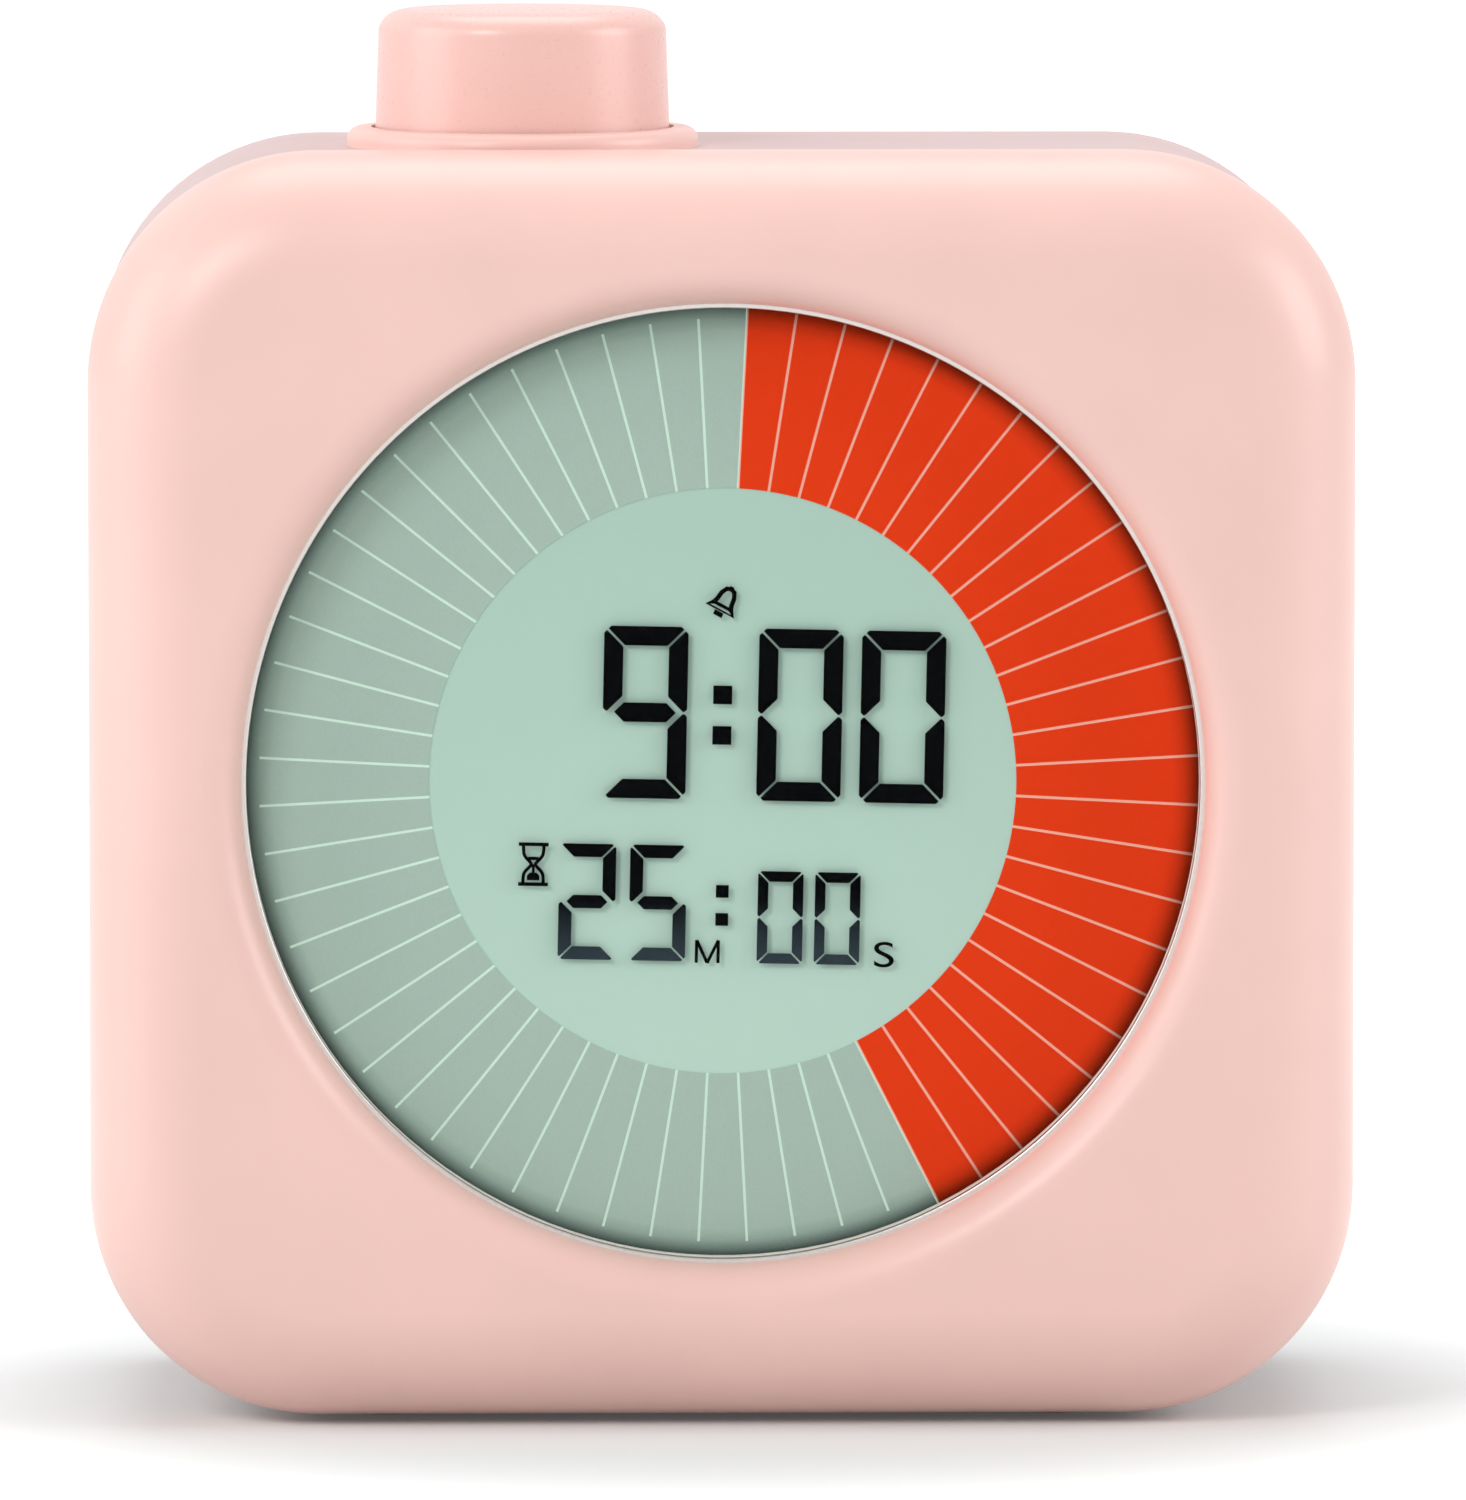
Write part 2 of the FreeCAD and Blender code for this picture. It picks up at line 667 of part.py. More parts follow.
def lens():
    """Clear flat window."""
    body = new_body("lens")
    extrude(body, "disc", "XZ_Plane", "mask_front", "lens_front",
            [("0", "window_middle", "lens_radius")])
    soften(body, "edges", lambda point: True, "lens_thick / 5", chamfer=True)
    return body


def lcd_panel():
    """Two bonded glass plates with clipped corners; the front one has the contact ledge."""
    body = new_body("lcd_panel")
    extrude(body, "front_glass", "XZ_Plane", "lcd_front + lcd_glass", "lcd_front",
            [clipped_box("0", "window_middle", "lcd_width / 2", "lcd_width / 2", "lcd_clip")])
    extrude(body, "contact_ledge", "XZ_Plane", "lcd_front + lcd_glass", "lcd_front",
            [plain_box("0", "window_middle - lcd_width / 2", "lcd_width - 2 * lcd_clip",
                       "2 * lcd_ledge")])
    extrude(body, "rear_glass", "XZ_Plane", "film_front", "lcd_front + lcd_glass",
            [clipped_box("0", "window_middle", "lcd_width / 2", "lcd_width / 2", "lcd_clip")])
    return body


def colour_film():
    """Printed film behind the glass that gives the segments their colours."""
    body = new_body("colour_film")
    extrude(body, "sheet", "XZ_Plane", "guide_front", "film_front",
            [clipped_box("0", "window_middle", "lcd_width / 2", "lcd_width / 2", "lcd_clip")])
    return body


def light_guide():
    """Clear slab that spreads the light of the lamps set into its side edges."""
    body = new_body("light_guide")
    extrude(body, "slab", "XZ_Plane", "board_front", "guide_front",
            [clipped_box("0", "window_middle", "lcd_width / 2", "lcd_width / 2", "lcd_clip")])
    extrude(body, "lamp_notches", "XZ_Plane", "board_front", "guide_front",
            [plain_box("%d * lcd_width / 2" % side, "window_middle",
                       "2 * (lamp_width + fit_gap)", "lamp_width + 2 * fit_gap")
             for side in (-1, 1)], cut=True)
    return body


def backlight_lamps():
    """Two small lamps on the main board, in the notches of the light guide."""
    body = new_body("backlight_lamps")
    extrude(body, "lamps", "XZ_Plane", "board_front", "board_front - lamp_height",
            [plain_box("%d * (lcd_width / 2 - lamp_width / 2)" % side, "window_middle",
                       "lamp_width", "lamp_width") for side in (-1, 1)])
    return body


def lcd_holder():
    """Frame round the glass and the light guide; its round mask holds the lens in its seat."""
    body = new_body("lcd_holder")
    drop = "lcd_ledge + fit_gap + holder_wall"
    half = "lcd_width / 2 + fit_gap"
    extrude(body, "frame", "XZ_Plane", "board_front", "mask_front",
            [clipped_box("0", "window_middle", "holder_half", "holder_half",
                         "lcd_clip + holder_wall")])
    extrude(body, "ledge_frame", "XZ_Plane", "board_front", "mask_front",
            [plain_box("0", "window_middle - lcd_width / 2",
                       "lcd_width - 2 * lcd_clip + 2 * holder_wall", "2 * (%s)" % drop)])
    extrude(body, "glass_pocket", "XZ_Plane", "board_front", "lcd_front",
            [clipped_box("0", "window_middle", half, half, "lcd_clip")], cut=True)
    extrude(body, "ledge_pocket", "XZ_Plane", "board_front", "lcd_front",
            [plain_box("0", "window_middle - lcd_width / 2",
                       "lcd_width - 2 * lcd_clip + 2 * fit_gap", "2 * (lcd_ledge + fit_gap)")],
            cut=True)
    extrude(body, "mask_window", "XZ_Plane", "lcd_front", "mask_front",
            [("0", "window_middle", "window_radius - mask_margin")], cut=True)
    return body


def contact_strips():
    """Two soft strips that carry the contacts from the glass ledge to the main board."""
    body = new_body("contact_strips")
    extrude(body, "strips", "XZ_Plane", "board_front", "lcd_front + lcd_glass",
            [plain_box("%d * (strip_length + strip_gap) / 2" % side,
                       "window_middle - lcd_width / 2 - lcd_ledge / 2", "strip_length",
                       "strip_width") for side in (-1, 1)])
    return body


def main_board():
    """Circuit board behind the display, notched at the corners for the housing's bosses."""
    body = new_body("main_board")
    tall = "(lcd_width + lcd_ledge) / 2 + fit_gap + holder_wall"
    tube = "screw_head_radius + 2 * run_gap + well_wall"
    drop = "lcd_ledge / 2 - window_rise"
    clip = "board_width / 2 + %s - 2 * screw_spread + 1.5 * (%s) + %s" % (tall, tube, drop)
    extrude(body, "board", "XZ_Plane", "board_back", "board_front",
            [clipped_box("0", "window_middle - lcd_ledge / 2", "board_width / 2", tall, clip)])
    extrude(body, "screw_holes", "XZ_Plane", "board_back", "board_front",
            [(x, z, "small_screw_radius + fit_gap") for x, z in BOARD_SCREWS], cut=True)
    return body


def controller_chip():
    """Square controller on the back of the main board."""
    body = new_body("controller_chip")
    extrude(body, "case", "XZ_Plane", "board_back + chip_height", "board_back",
            [plain_box("0", "window_middle", "chip_width", "chip_width")])
    soften(body, "edges", at_depth("board_back + chip_height"), "chip_height / 5", chamfer=True)
    return body


def knob():
    """Setting knob: a drafted cup with a rounded crown, a hub with a D bore, and inner ribs."""
    body = new_body("knob")
    crown = "knob_radius - knob_draft"
    revolve(body, "cup", "XZ_Plane", "knob_depth", "knob_side", [
        ("knob_side", "knob_top"),
        ("knob_side", "bore_top"),
        ("knob_side + %s - knob_wall" % crown, "bore_top"),
        ("knob_side + knob_radius - knob_wall", "knob_bottom"),
        ("knob_side + knob_radius", "knob_bottom"),
        ("knob_side + %s" % crown, "knob_top - knob_round"),
        ("knob_side + %s - knob_round" % crown, "knob_top", "knob_round", 1),
    ])
    extrude(body, "hub", "XY_Plane", "hub_bottom", "bore_top + knob_roof / 2",
            [("knob_side", "knob_depth", "hub_radius")])
    near_end = "hub_radius - knob_wall / 2"
    far_end = "knob_radius - knob_wall / 2"
    extrude(body, "rib", "XY_Plane", "hub_bottom + knob_wall", "bore_top + knob_roof / 4",
            [plain_box("knob_side + (%s + %s) / 2" % (near_end, far_end), "knob_depth",
                       "%s - (%s)" % (far_end, near_end), "knob_wall / 2")])
    rib = body.Tip
    ribs = body.newObject("PartDesign::PolarPattern", "ribs")
    ribs.Originals = [rib]
    ribs.Axis = (body.getObject("cup_sketch"), ["Axis0"])
    ribs.Angle = 360
    bind(ribs, "Occurrences", "knob_ribs")
    finish(body, ribs)
    extrude(body, "bore", "XY_Plane", "hub_bottom", "bore_top",
            [d_outline("shaft_radius + shaft_gap")], cut=True)
    return body


def d_outline(radius):
    """Return the outline of a shaft of a radius with its flat towards the front."""
    flat = "shaft_radius - shaft_flat + shaft_gap"
    half = "sqrt((%s) ^ 2 - (%s) ^ 2)" % (radius, flat)
    return [
        ("knob_side + " + half, "knob_depth - (%s)" % flat),
        ("knob_side + (%s)" % radius, "knob_depth", radius, 1),
        ("knob_side", "knob_depth + (%s)" % radius, radius, 1),
        ("knob_side - (%s)" % radius, "knob_depth", radius, 1),
        ("knob_side - " + half, "knob_depth - (%s)" % flat, radius, 1),
    ]


def knob_collar():
    """Ring that the knob sinks into, pegged to the roof by a rib underneath."""
    body = new_body("knob_collar")
    hole = "knob_side + knob_radius + run_gap"
    outer = "knob_side + collar_radius"
    revolve(body, "ring", "XZ_Plane", "knob_depth", "knob_side", [
        (hole, "roof"),
        (outer, "roof"),
        (outer, "roof + collar_height - collar_round"),
        (outer + " - collar_round", "roof + collar_height", "collar_round", 1),
        (hole, "roof + collar_height"),
    ])
    extrude(body, "rib", "XY_Plane", "roof - collar_rib", "roof + collar_height / 2",
            [("knob_side", "knob_depth", "collar_rib_outer"),
             ("knob_side", "knob_depth", "collar_rib_inner")])
    return body


def encoder_bushing():
    """Threaded sleeve through the roof, with the plate that closes the encoder."""
    body = new_body("encoder_bushing")
    extrude(body, "plate", "XY_Plane", "bushing_bottom", "ceiling",
            [rounded_box("knob_side", "knob_depth", "encoder_width", "encoder_depth",
                         "bushing_plate / 2")])
    extrude(body, "sleeve", "XY_Plane", "ceiling - bushing_plate / 2", "bushing_top",
            [("knob_side", "knob_depth", "bushing_radius")])
    soften(body, "lead", at_height("bushing_top"), "bushing_radius / 10", chamfer=True)
    extrude(body, "bore", "XY_Plane", "bushing_bottom", "bushing_top",
            [("knob_side", "knob_depth", "shaft_radius + shaft_gap")], cut=True)
    return body


def encoder_body():
    """Box of the turning and pressing switch under the roof, open above to its rotor."""
    body = new_body("encoder_body")
    extrude(body, "case", "XY_Plane", "encoder_bottom", "bushing_bottom",
            [rounded_box("knob_side", "knob_depth", "encoder_width", "encoder_depth",
                         "encoder_floor")])
    extrude(body, "rotor_room", "XY_Plane", "shaft_bottom - run_gap - press_travel",
            "bushing_bottom", [("knob_side", "knob_depth", "rotor_radius + run_gap")], cut=True)
    extrude(body, "plunger_room", "XY_Plane", "encoder_bottom + encoder_floor",
            "shaft_bottom", [("knob_side", "knob_depth", "plunger_radius + run_gap")], cut=True)
    return body


def encoder_plunger():
    """Button inside the encoder that the shaft pushes down."""
    body = new_body("encoder_plunger")
    extrude(body, "disc", "XY_Plane", "plunger_bottom", "plunger_bottom + plunger_thick",
            [("knob_side", "knob_depth", "plunger_radius")])
    soften(body, "edge", at_height("plunger_bottom"), "plunger_thick / 4")
    return body


def encoder_shaft():
    """Shaft with its rotor disc below and a flat for the knob above."""
    body = new_body("encoder_shaft")
    extrude(body, "rod", "XY_Plane", "shaft_bottom", "bore_top - shaft_gap",
            [("knob_side", "knob_depth", "shaft_radius")])
    soften(body, "lead", at_height("bore_top - shaft_gap"), "shaft_radius / 10", chamfer=True)
    extrude(body, "rotor", "XY_Plane", "rotor_top - rotor_thick", "rotor_top",
            [("knob_side", "knob_depth", "rotor_radius")])
    extrude(body, "flat", "XY_Plane", "hub_bottom", "bore_top",
            [plain_box("knob_side",
                       "knob_depth - (shaft_radius - shaft_flat) - shaft_radius / 2",
                       "2 * shaft_radius", "shaft_radius")], cut=True)
    return body


def encoder_washer():
    """Flat washer on the roof under the nut."""
    body = new_body("encoder_washer")
    extrude(body, "ring", "XY_Plane", "roof", "roof + washer_thick",
            [("knob_side", "knob_depth", "washer_radius"),
             ("knob_side", "knob_depth", "bushing_radius + shaft_gap")])
    return body


def encoder_nut():
    """Hexagon nut that clamps the encoder to the roof."""
    body = new_body("encoder_nut")
    corner = "nut_width / 2 / cos(30)"
    steps = [("knob_side + %s * cos(%d)" % (corner, angle),
              "knob_depth + %s * sin(%d)" % (corner, angle)) for angle in range(0, 360, 60)]
    bottom = "roof + washer_thick"
    extrude(body, "hexagon", "XY_Plane", bottom, bottom + " + nut_height", [steps])
    extrude(body, "bore", "XY_Plane", bottom, bottom + " + nut_height",
            [("knob_side", "knob_depth", "bushing_radius + shaft_gap")], cut=True)
    return body


def encoder_board():
    """Small board under the encoder that its pins are soldered to."""
    body = new_body("encoder_board")
    extrude(body, "board", "XY_Plane", "encoder_board_bottom", "encoder_bottom",
            [rounded_box("knob_side", "knob_depth", "encoder_board_width",
                         "encoder_board_depth", "board_thick / 2")])
    return body


def speaker_gasket():
    """Soft ring between the speaker and the grille."""
    body = new_body("speaker_gasket")
    extrude(body, "ring", "XZ_Plane", "rear_inside", "speaker_back",
            [("0", "speaker_height", "speaker_radius"),
             ("0", "speaker_height", "speaker_radius - speaker_rim")])
    return body


def speaker_frame():
    """Dished metal frame of the speaker with its magnet pot at the front."""
    body = new_body("speaker_frame")
    front = "speaker_back - speaker_depth"
    revolve(body, "dish", "YZ_Plane", "0", "speaker_height", [
        (front + " - magnet_depth", "speaker_height"),
        (front + " - magnet_depth", "speaker_height + magnet_radius"),
        (front, "speaker_height + magnet_radius"),
        ("speaker_back - cone_thick", "speaker_height + speaker_radius"),
        ("speaker_back", "speaker_height + speaker_radius"),
        ("speaker_back", "speaker_height + speaker_radius - speaker_rim"),
        ("speaker_back - 2 * cone_thick", "speaker_height + speaker_radius - speaker_rim"),
        (front + " + 2 * cone_thick", "speaker_height + magnet_radius"),
        (front + " + 2 * cone_thick", "speaker_height"),
    ], upright=False)
    return body


def speaker_cone():
    """Shallow sound cone glued to the rim of the speaker frame."""
    body = new_body("speaker_cone")
    rim = "speaker_radius - speaker_rim"
    sink = "speaker_back - speaker_depth / 2"
    revolve(body, "cone", "YZ_Plane", "0", "speaker_height", [
        ("speaker_back", "speaker_height + %s" % rim),
        ("speaker_back - cone_thick", "speaker_height + %s" % rim),
        (sink, "speaker_height + magnet_radius"),
        (sink, "speaker_height"),
        (sink + " + cone_thick", "speaker_height"),
        (sink + " + cone_thick", "speaker_height + magnet_radius"),
    ], upright=False)
    return body


def cell_middles():
    """Return the heights of the two cells, as expressions."""
    return ["bay_middle + %d * cell_pitch / 2" % side for side in (-1, 1)]


def battery_cells():
    """Two small round cells lying side by side, plus ends opposite ways."""
    body = new_body("battery_cells")
    plus_left = "contact_dimple"
    minus_left = "spring_length"
    for name, height, end in (("lower", cell_middles()[0], plus_left),
                              ("upper", cell_middles()[1], minus_left)):
        left = "-bay_width / 2 + contact_thick + fit_gap / 2 + " + end
        can = left + (" + cell_nub" if end == plus_left else "")
        nub = left + ("" if end == plus_left else " + cell_length - cell_nub")
        extrude(body, name + "_can", "YZ_Plane", can, can + " + cell_length - cell_nub",
                [("cell_middle", height, "cell_radius")])
        extrude(body, name + "_nub", "YZ_Plane", nub, nub + " + cell_nub",
                [("cell_middle", height, "cell_nub_radius")])
    return body


def battery_plates():
    """Sprung metal plates in the ends of the bay, one pair joined, two single."""
    body = new_body("battery_plates")
    wide = "2 * cell_radius - 2 * run_gap"
    extrude(body, "joined_plate", "YZ_Plane", "-bay_width / 2",
            "-bay_width / 2 + contact_thick",
            [rounded_box("cell_middle", "bay_middle", wide, "cell_pitch + " + wide, "1")])
    for name, height in zip(("lower", "upper"), cell_middles()):
        extrude(body, name + "_plate", "YZ_Plane", "bay_width / 2 - contact_thick",
                "bay_width / 2", [rounded_box("cell_middle", height, wide, wide, "1")])
    extrude(body, "left_dimple", "YZ_Plane", "-bay_width / 2 + contact_thick",
            "-bay_width / 2 + contact_thick + contact_dimple",
            [("cell_middle", cell_middles()[0], "cell_nub_radius")])
    extrude(body, "right_dimple", "YZ_Plane", "bay_width / 2 - contact_thick - contact_dimple",
            "bay_width / 2 - contact_thick", [("cell_middle", cell_middles()[1],
                                               "cell_nub_radius")])
    return body


def spring_line(start_x, side, height):
    """Return a conical spring's centre line as tangent arcs, two to each quarter turn.

    The line starts at a plate at start_x and narrows as it goes the way of side.
    """
    turns = measure("spring_turns")
    wire = measure("spring_wire")
    length = measure("spring_length - 2 * spring_wire")
    base = measure("spring_base - spring_wire")
    tip = measure("spring_tip")
    middle = FreeCAD.Vector(start_x + side * wire, measure("cell_middle"), measure(height))
    steps = int(round(turns * 4))

    def at(step):
        share = step / steps
        angle = math.pi / 2 * step
        radius = base + (tip - base) * share
        grow = (tip - base) / steps / (math.pi / 2)
        climb = side * length / steps / (math.pi / 2)
        arm = FreeCAD.Vector(0, math.cos(angle), math.sin(angle))
        along = FreeCAD.Vector(0, -math.sin(angle), math.cos(angle))
        point = middle + FreeCAD.Vector(side * length * share, 0, 0) + arm * radius
        heading = FreeCAD.Vector(climb, 0, 0) + arm * grow + along * radius
        return point, heading.normalize()

    arcs = []
    for step in range(steps):
        (first, leave), (last, arrive) = at(step), at(step + 1)
        arcs += biarc(first, leave, last, arrive)
    return Part.Wire(arcs)


def biarc(first, leave, last, arrive):
    """Return two arcs that join two points with given headings and meet smoothly."""
    gap = last - first
    both = leave + arrive
    slope = gap.dot(both)
    spread = 2 * (1 - leave.dot(arrive))
    reach = (-slope + math.sqrt(slope ** 2 + spread * gap.dot(gap))) / spread
    joint = (first + leave * reach + last - arrive * reach) * 0.5
    return [bend(first, leave, joint), bend(last, arrive * -1, joint)]


def bend(first, leave, last):
    """Return the edge of the arc that leaves a point along a heading and ends at another."""
    chord = last - first
    side = chord - leave * chord.dot(leave)
    radius = chord.dot(chord) / (2 * side.Length)
    centre = first + side.normalize() * radius
    half = ((first - centre) + (last - centre)).normalize() * radius
    return Part.Arc(first, centre + half, last).toShape()


def battery_springs():
    """Two conical springs that press the cells' minus ends."""
    coils = []
    lower, upper = cell_middles()
    for start, side, height in (("bay_width / 2 - contact_thick", -1, lower),
                                ("-bay_width / 2 + contact_thick", 1, upper)):
        line = spring_line(measure(start), side, height)
        begin = line.Edges[0].Vertexes[0].Point
        heading = line.Edges[0].tangentAt(line.Edges[0].FirstParameter)
        ring = Part.Wire([Part.Circle(begin, heading, measure("spring_wire")).toShape()])
        coil = line.makePipeShell([ring], True, False)
        section = math.pi * measure("spring_wire") ** 2 * line.Length
        print("spring: volume %.3f of %.3f" % (coil.Volume, section))
        coils.append(coil)
    springs = document.addObject("Part::Feature", "battery_springs")
    springs.Label = "battery_springs"
    springs.Shape = Part.makeCompound(coils)
    return springs


def battery_door():
    """Flat door with two tabs under its lower edge and a sprung latch cut into its top."""
    body = new_body("battery_door")
    extrude(body, "plate", "XZ_Plane", "rear_face", "door_inside",
            [rounded_box("0", "(door_bottom + door_top) / 2", "2 * door_half",
                         "door_top - door_bottom", "door_corner")])
    # square at the bottom, where the outer edge rolls in the seat as the door swings
    extrude(body, "foot", "XZ_Plane", "rear_face", "door_inside",
            [plain_box("0", "(door_bottom + bay_middle) / 2", "2 * door_half",
                       "bay_middle - door_bottom")])
    soften(body, "nose", lambda point: near(point.y, measure("rear_face")) and
           near(point.z, measure("door_bottom")), "door_nose")
    tab_face = "rear_inside - run_gap"
    for name, side in (("left_tab", -1), ("right_tab", 1)):
        extrude(body, name, "YZ_Plane", "%d * tab_spread - tab_width / 2" % side,
                "%d * tab_spread + tab_width / 2" % side, [[
                    (tab_face + " - tab_thick", "door_bottom - tab_reach"),
                    (tab_face, "door_bottom - tab_reach"),
                    (tab_face, "door_bottom + run_gap"),
                    ("door_inside + door_thick / 2", "door_bottom + run_gap"),
                    ("door_inside + door_thick / 2", "door_bottom + tab_reach"),
                    (tab_face + " - tab_thick", "door_bottom + tab_reach"),
                ]])
    # the latch tongue is freed by a narrow slot on each side and has a thumb hollow
    extrude(body, "latch_slots", "XZ_Plane", "rear_face", "door_inside",
            [plain_box("%d * (latch_width + latch_slot) / 2" % side,
                       "door_top - latch_length / 2", "latch_slot", "latch_length")
             for side in (-1, 1)], cut=True)
    extrude(body, "thumb_hollow", "XZ_Plane", "rear_face", "rear_face - door_thick / 2",
            [rounded_box("0", "door_top - latch_length / 2", "latch_width - 2 * latch_slot",
                         "latch_length / 2", "latch_slot")], cut=True)
    return body


def push_button(label, side):
    """Round button with a crowned face, a flange behind the panel and a short stem."""
    body = new_body(label)
    extrude(body, "cap", "XZ_Plane", "panel_face + button_proud",
            "flange_back + button_flange_thick / 2", [(side, "panel_height", "button_radius")])
    soften(body, "crown", at_depth("panel_face + button_proud"), "button_crown")
    extrude(body, "flange", "XZ_Plane", "flange_back + button_flange_thick", "flange_back",
            [(side, "panel_height", "button_radius + button_flange")])
    return body


def switch_stem(label, side):
    """Small plunger of a push switch, which its button bears on."""
    body = new_body(label)
    extrude(body, "stem", "XZ_Plane", "stem_top", "stem_top - stem_length",
            [(side, "panel_height", "stem_radius")])
    soften(body, "edge", at_depth("stem_top"), "stem_radius / 8")
    return body


def button_switches():
    """Two square push switches on the rear board, with wells for their plungers."""
    body = new_body("button_switches")
    top = "rear_board_back + tact_height"
    extrude(body, "cases", "XZ_Plane", top, "rear_board_back",
            [rounded_box(side, "panel_height", "tact_width", "tact_width", "tact_floor / 2")
             for side in BUTTON_SIDES])
    extrude(body, "wells", "XZ_Plane", top, "stem_top - stem_length - button_travel - run_gap",
            [(side, "panel_height", "stem_radius + run_gap") for side in BUTTON_SIDES],
            cut=True)
    return body


def volume_slider():
    """Sliding cap of the volume switch, with its plate behind the panel and its fork."""
    body = new_body("volume_slider")
    start = "slider_side - slider_travel / 2"
    extrude(body, "cap", "XZ_Plane", "panel_face + button_proud",
            "flange_back + slider_plate / 2",
            [rounded_box(start, "panel_height", "slider_width", "slider_tall",
                         "slider_tall / 5")])
    extrude(body, "grips", "XZ_Plane", "panel_face + button_proud",
            "panel_face + button_proud / 2",
            [plain_box(start + " + %d * slider_width / 4" % step, "panel_height",
                       "slider_width / 10", "slider_tall") for step in (-1, 0, 1)], cut=True)
    extrude(body, "plate", "XZ_Plane", "flange_back + slider_plate", "flange_back",
            [plain_box(start, "panel_height",
                       "slider_width + 2 * slider_travel + 2 * run_gap",
                       "slider_tall + 2 * slider_plate")])
    extrude(body, "prong", "XZ_Plane", "flange_back",
            "rear_board_back + slide_switch_height / 2",
            [plain_box(start, "panel_height", "slider_width / 2", "slider_tall / 2")])
    return body


def volume_switch():
    """Slide switch on the rear board, with a slot for the slider's prong."""
    body = new_body("volume_switch")
    top = "rear_board_back + slide_switch_height"
    extrude(body, "case", "XZ_Plane", top, "rear_board_back",
            [rounded_box("slider_side", "panel_height", "slide_switch_width",
                         "slide_switch_tall", "tact_floor / 2")])
    extrude(body, "slot", "XZ_Plane", top,
            "rear_board_back + slide_switch_height / 2 - run_gap",
            [plain_box("slider_side", "panel_height",
                       "slider_width / 2 + slider_travel + 2 * run_gap",
                       "slider_tall / 2 + 2 * run_gap")], cut=True)
    return body


def rear_board():
    """Strip of circuit board behind the rear panel, carried by two posts."""
    body = new_body("rear_board")
    extrude(body, "board", "XZ_Plane", "rear_board_back", "rear_board_front",
            [rounded_box("0", "panel_height", "rear_board_width", "rear_board_tall",
                         "board_thick / 2")])
    extrude(body, "screw_holes", "XZ_Plane", "rear_board_back", "rear_board_front",
            [("%d * post_spread" % side, "panel_height", "small_screw_radius + fit_gap")
             for side in (-1, 1)], cut=True)
    return body


def screws(label, seat, towards_front, places, radius, length, head_radius, head):
    """A set of like screws with their heads on a seat, all along Y, as one node.

    towards_front tells which way the shanks point. Heads have a rounded edge and a cross slot.
    """
    body = new_body(label)
    out = 1 if towards_front else -1
    face = "%s + %d * %s" % (seat, out, head)
    tip = "%s - %d * %s" % (seat, out, length)
    deep = "%s - %d * %s / 2" % (face, out, head)
    for name, one, other, size in (("heads", face, seat, head_radius),
                                   ("shanks", seat, tip, radius)):
        ends = (one, other) if towards_front else (other, one)
        extrude(body, name, "XZ_Plane", ends[0], ends[1], [(x, z, size) for x, z in places])
    soften(body, "head_round", at_depth(face), head + " / 3")
    ends = (face, deep) if towards_front else (deep, face)
    for name, wide, tall in (("slots", head_radius, "cross_slot"),
                             ("cross_slots", "cross_slot", head_radius)):
        extrude(body, name, "XZ_Plane", ends[0], ends[1],
                [plain_box(x, z, wide, tall) for x, z in places], cut=True)
    return body


def feet():
    """Four soft round feet in pockets under the rear half."""
    body = new_body("feet")
    extrude(body, "pads", "XY_Plane", "0", "foot_base + foot_pocket",
            [(x, y, "foot_radius") for x, y in FOOT_PLACES])
    soften(body, "edges", at_height("0"), "foot_edge")
    return body


PIECES = [
    front_shell(),
    rear_shell(),
    lens_trim(),
    lens(),
    lcd_panel(),
    colour_film(),
    light_guide(),
    backlight_lamps(),
    lcd_holder(),
    contact_strips(),
    main_board(),
    controller_chip(),
    screws("board_screws", "board_back", True, BOARD_SCREWS, "small_screw_radius",
           "small_screw_length", "small_head_radius", "small_head"),
    knob(),
    knob_collar(),
    encoder_bushing(),
    encoder_body(),
    encoder_plunger(),
    encoder_shaft(),
    encoder_washer(),
    encoder_nut(),
    encoder_board(),
    speaker_gasket(),
    speaker_frame(),
    speaker_cone(),
    battery_cells(),
    battery_plates(),
    battery_springs(),
    battery_door(),
    push_button("mode_button", BUTTON_SIDES[0]),
    push_button("set_button", BUTTON_SIDES[1]),
    switch_stem("mode_switch_stem", BUTTON_SIDES[0]),
    switch_stem("set_switch_stem", BUTTON_SIDES[1]),
    button_switches(),
    volume_slider(),
    volume_switch(),
    rear_board(),
    screws("rear_board_screws", "rear_board_front", False,
           [("%d * post_spread" % side, "panel_height") for side in (-1, 1)],
           "small_screw_radius", "small_screw_length", "small_head_radius", "small_head"),
    screws("housing_screws", "screw_seat", True, four_corners("screw_spread"),
           "screw_radius", "screw_length", "screw_head_radius", "screw_head"),
    feet(),
]

document.recompute()
for item in document.Objects:
    if "Invalid" in item.State or "Error" in item.State:
        raise RuntimeError("%s of the document failed" % item.Label)
os.makedirs("parts", exist_ok=True)
for piece in PIECES:
    if piece.Shape.isNull() or not piece.Shape.isValid():
        raise RuntimeError("%s isn't a valid shape" % piece.Label)
    piece.Shape.exportStep("parts/%s.step" % piece.Label)
    box = piece.Shape.BoundBox
    print("%-18s solids %d volume %9.2f  x %.2f %.2f  y %.2f %.2f  z %.2f %.2f" % (
        piece.Label, len(piece.Shape.Solids), piece.Shape.Volume,
        box.XMin, box.XMax, box.YMin, box.YMax, box.ZMin, box.ZMax))
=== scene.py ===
"""Dressed model of a pink visual countdown timer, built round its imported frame.

Everything is in metres in the frame's own axes: X to the right seen from the front, the display
facing -Y, Z up. Sizes of new pieces are written in millimetres and turned to metres by mm().
"""

import logging
import math
from contextlib import contextmanager
from dataclasses import dataclass
from enum import Enum
from functools import cache
from typing import Callable, ClassVar, Iterator, Sequence

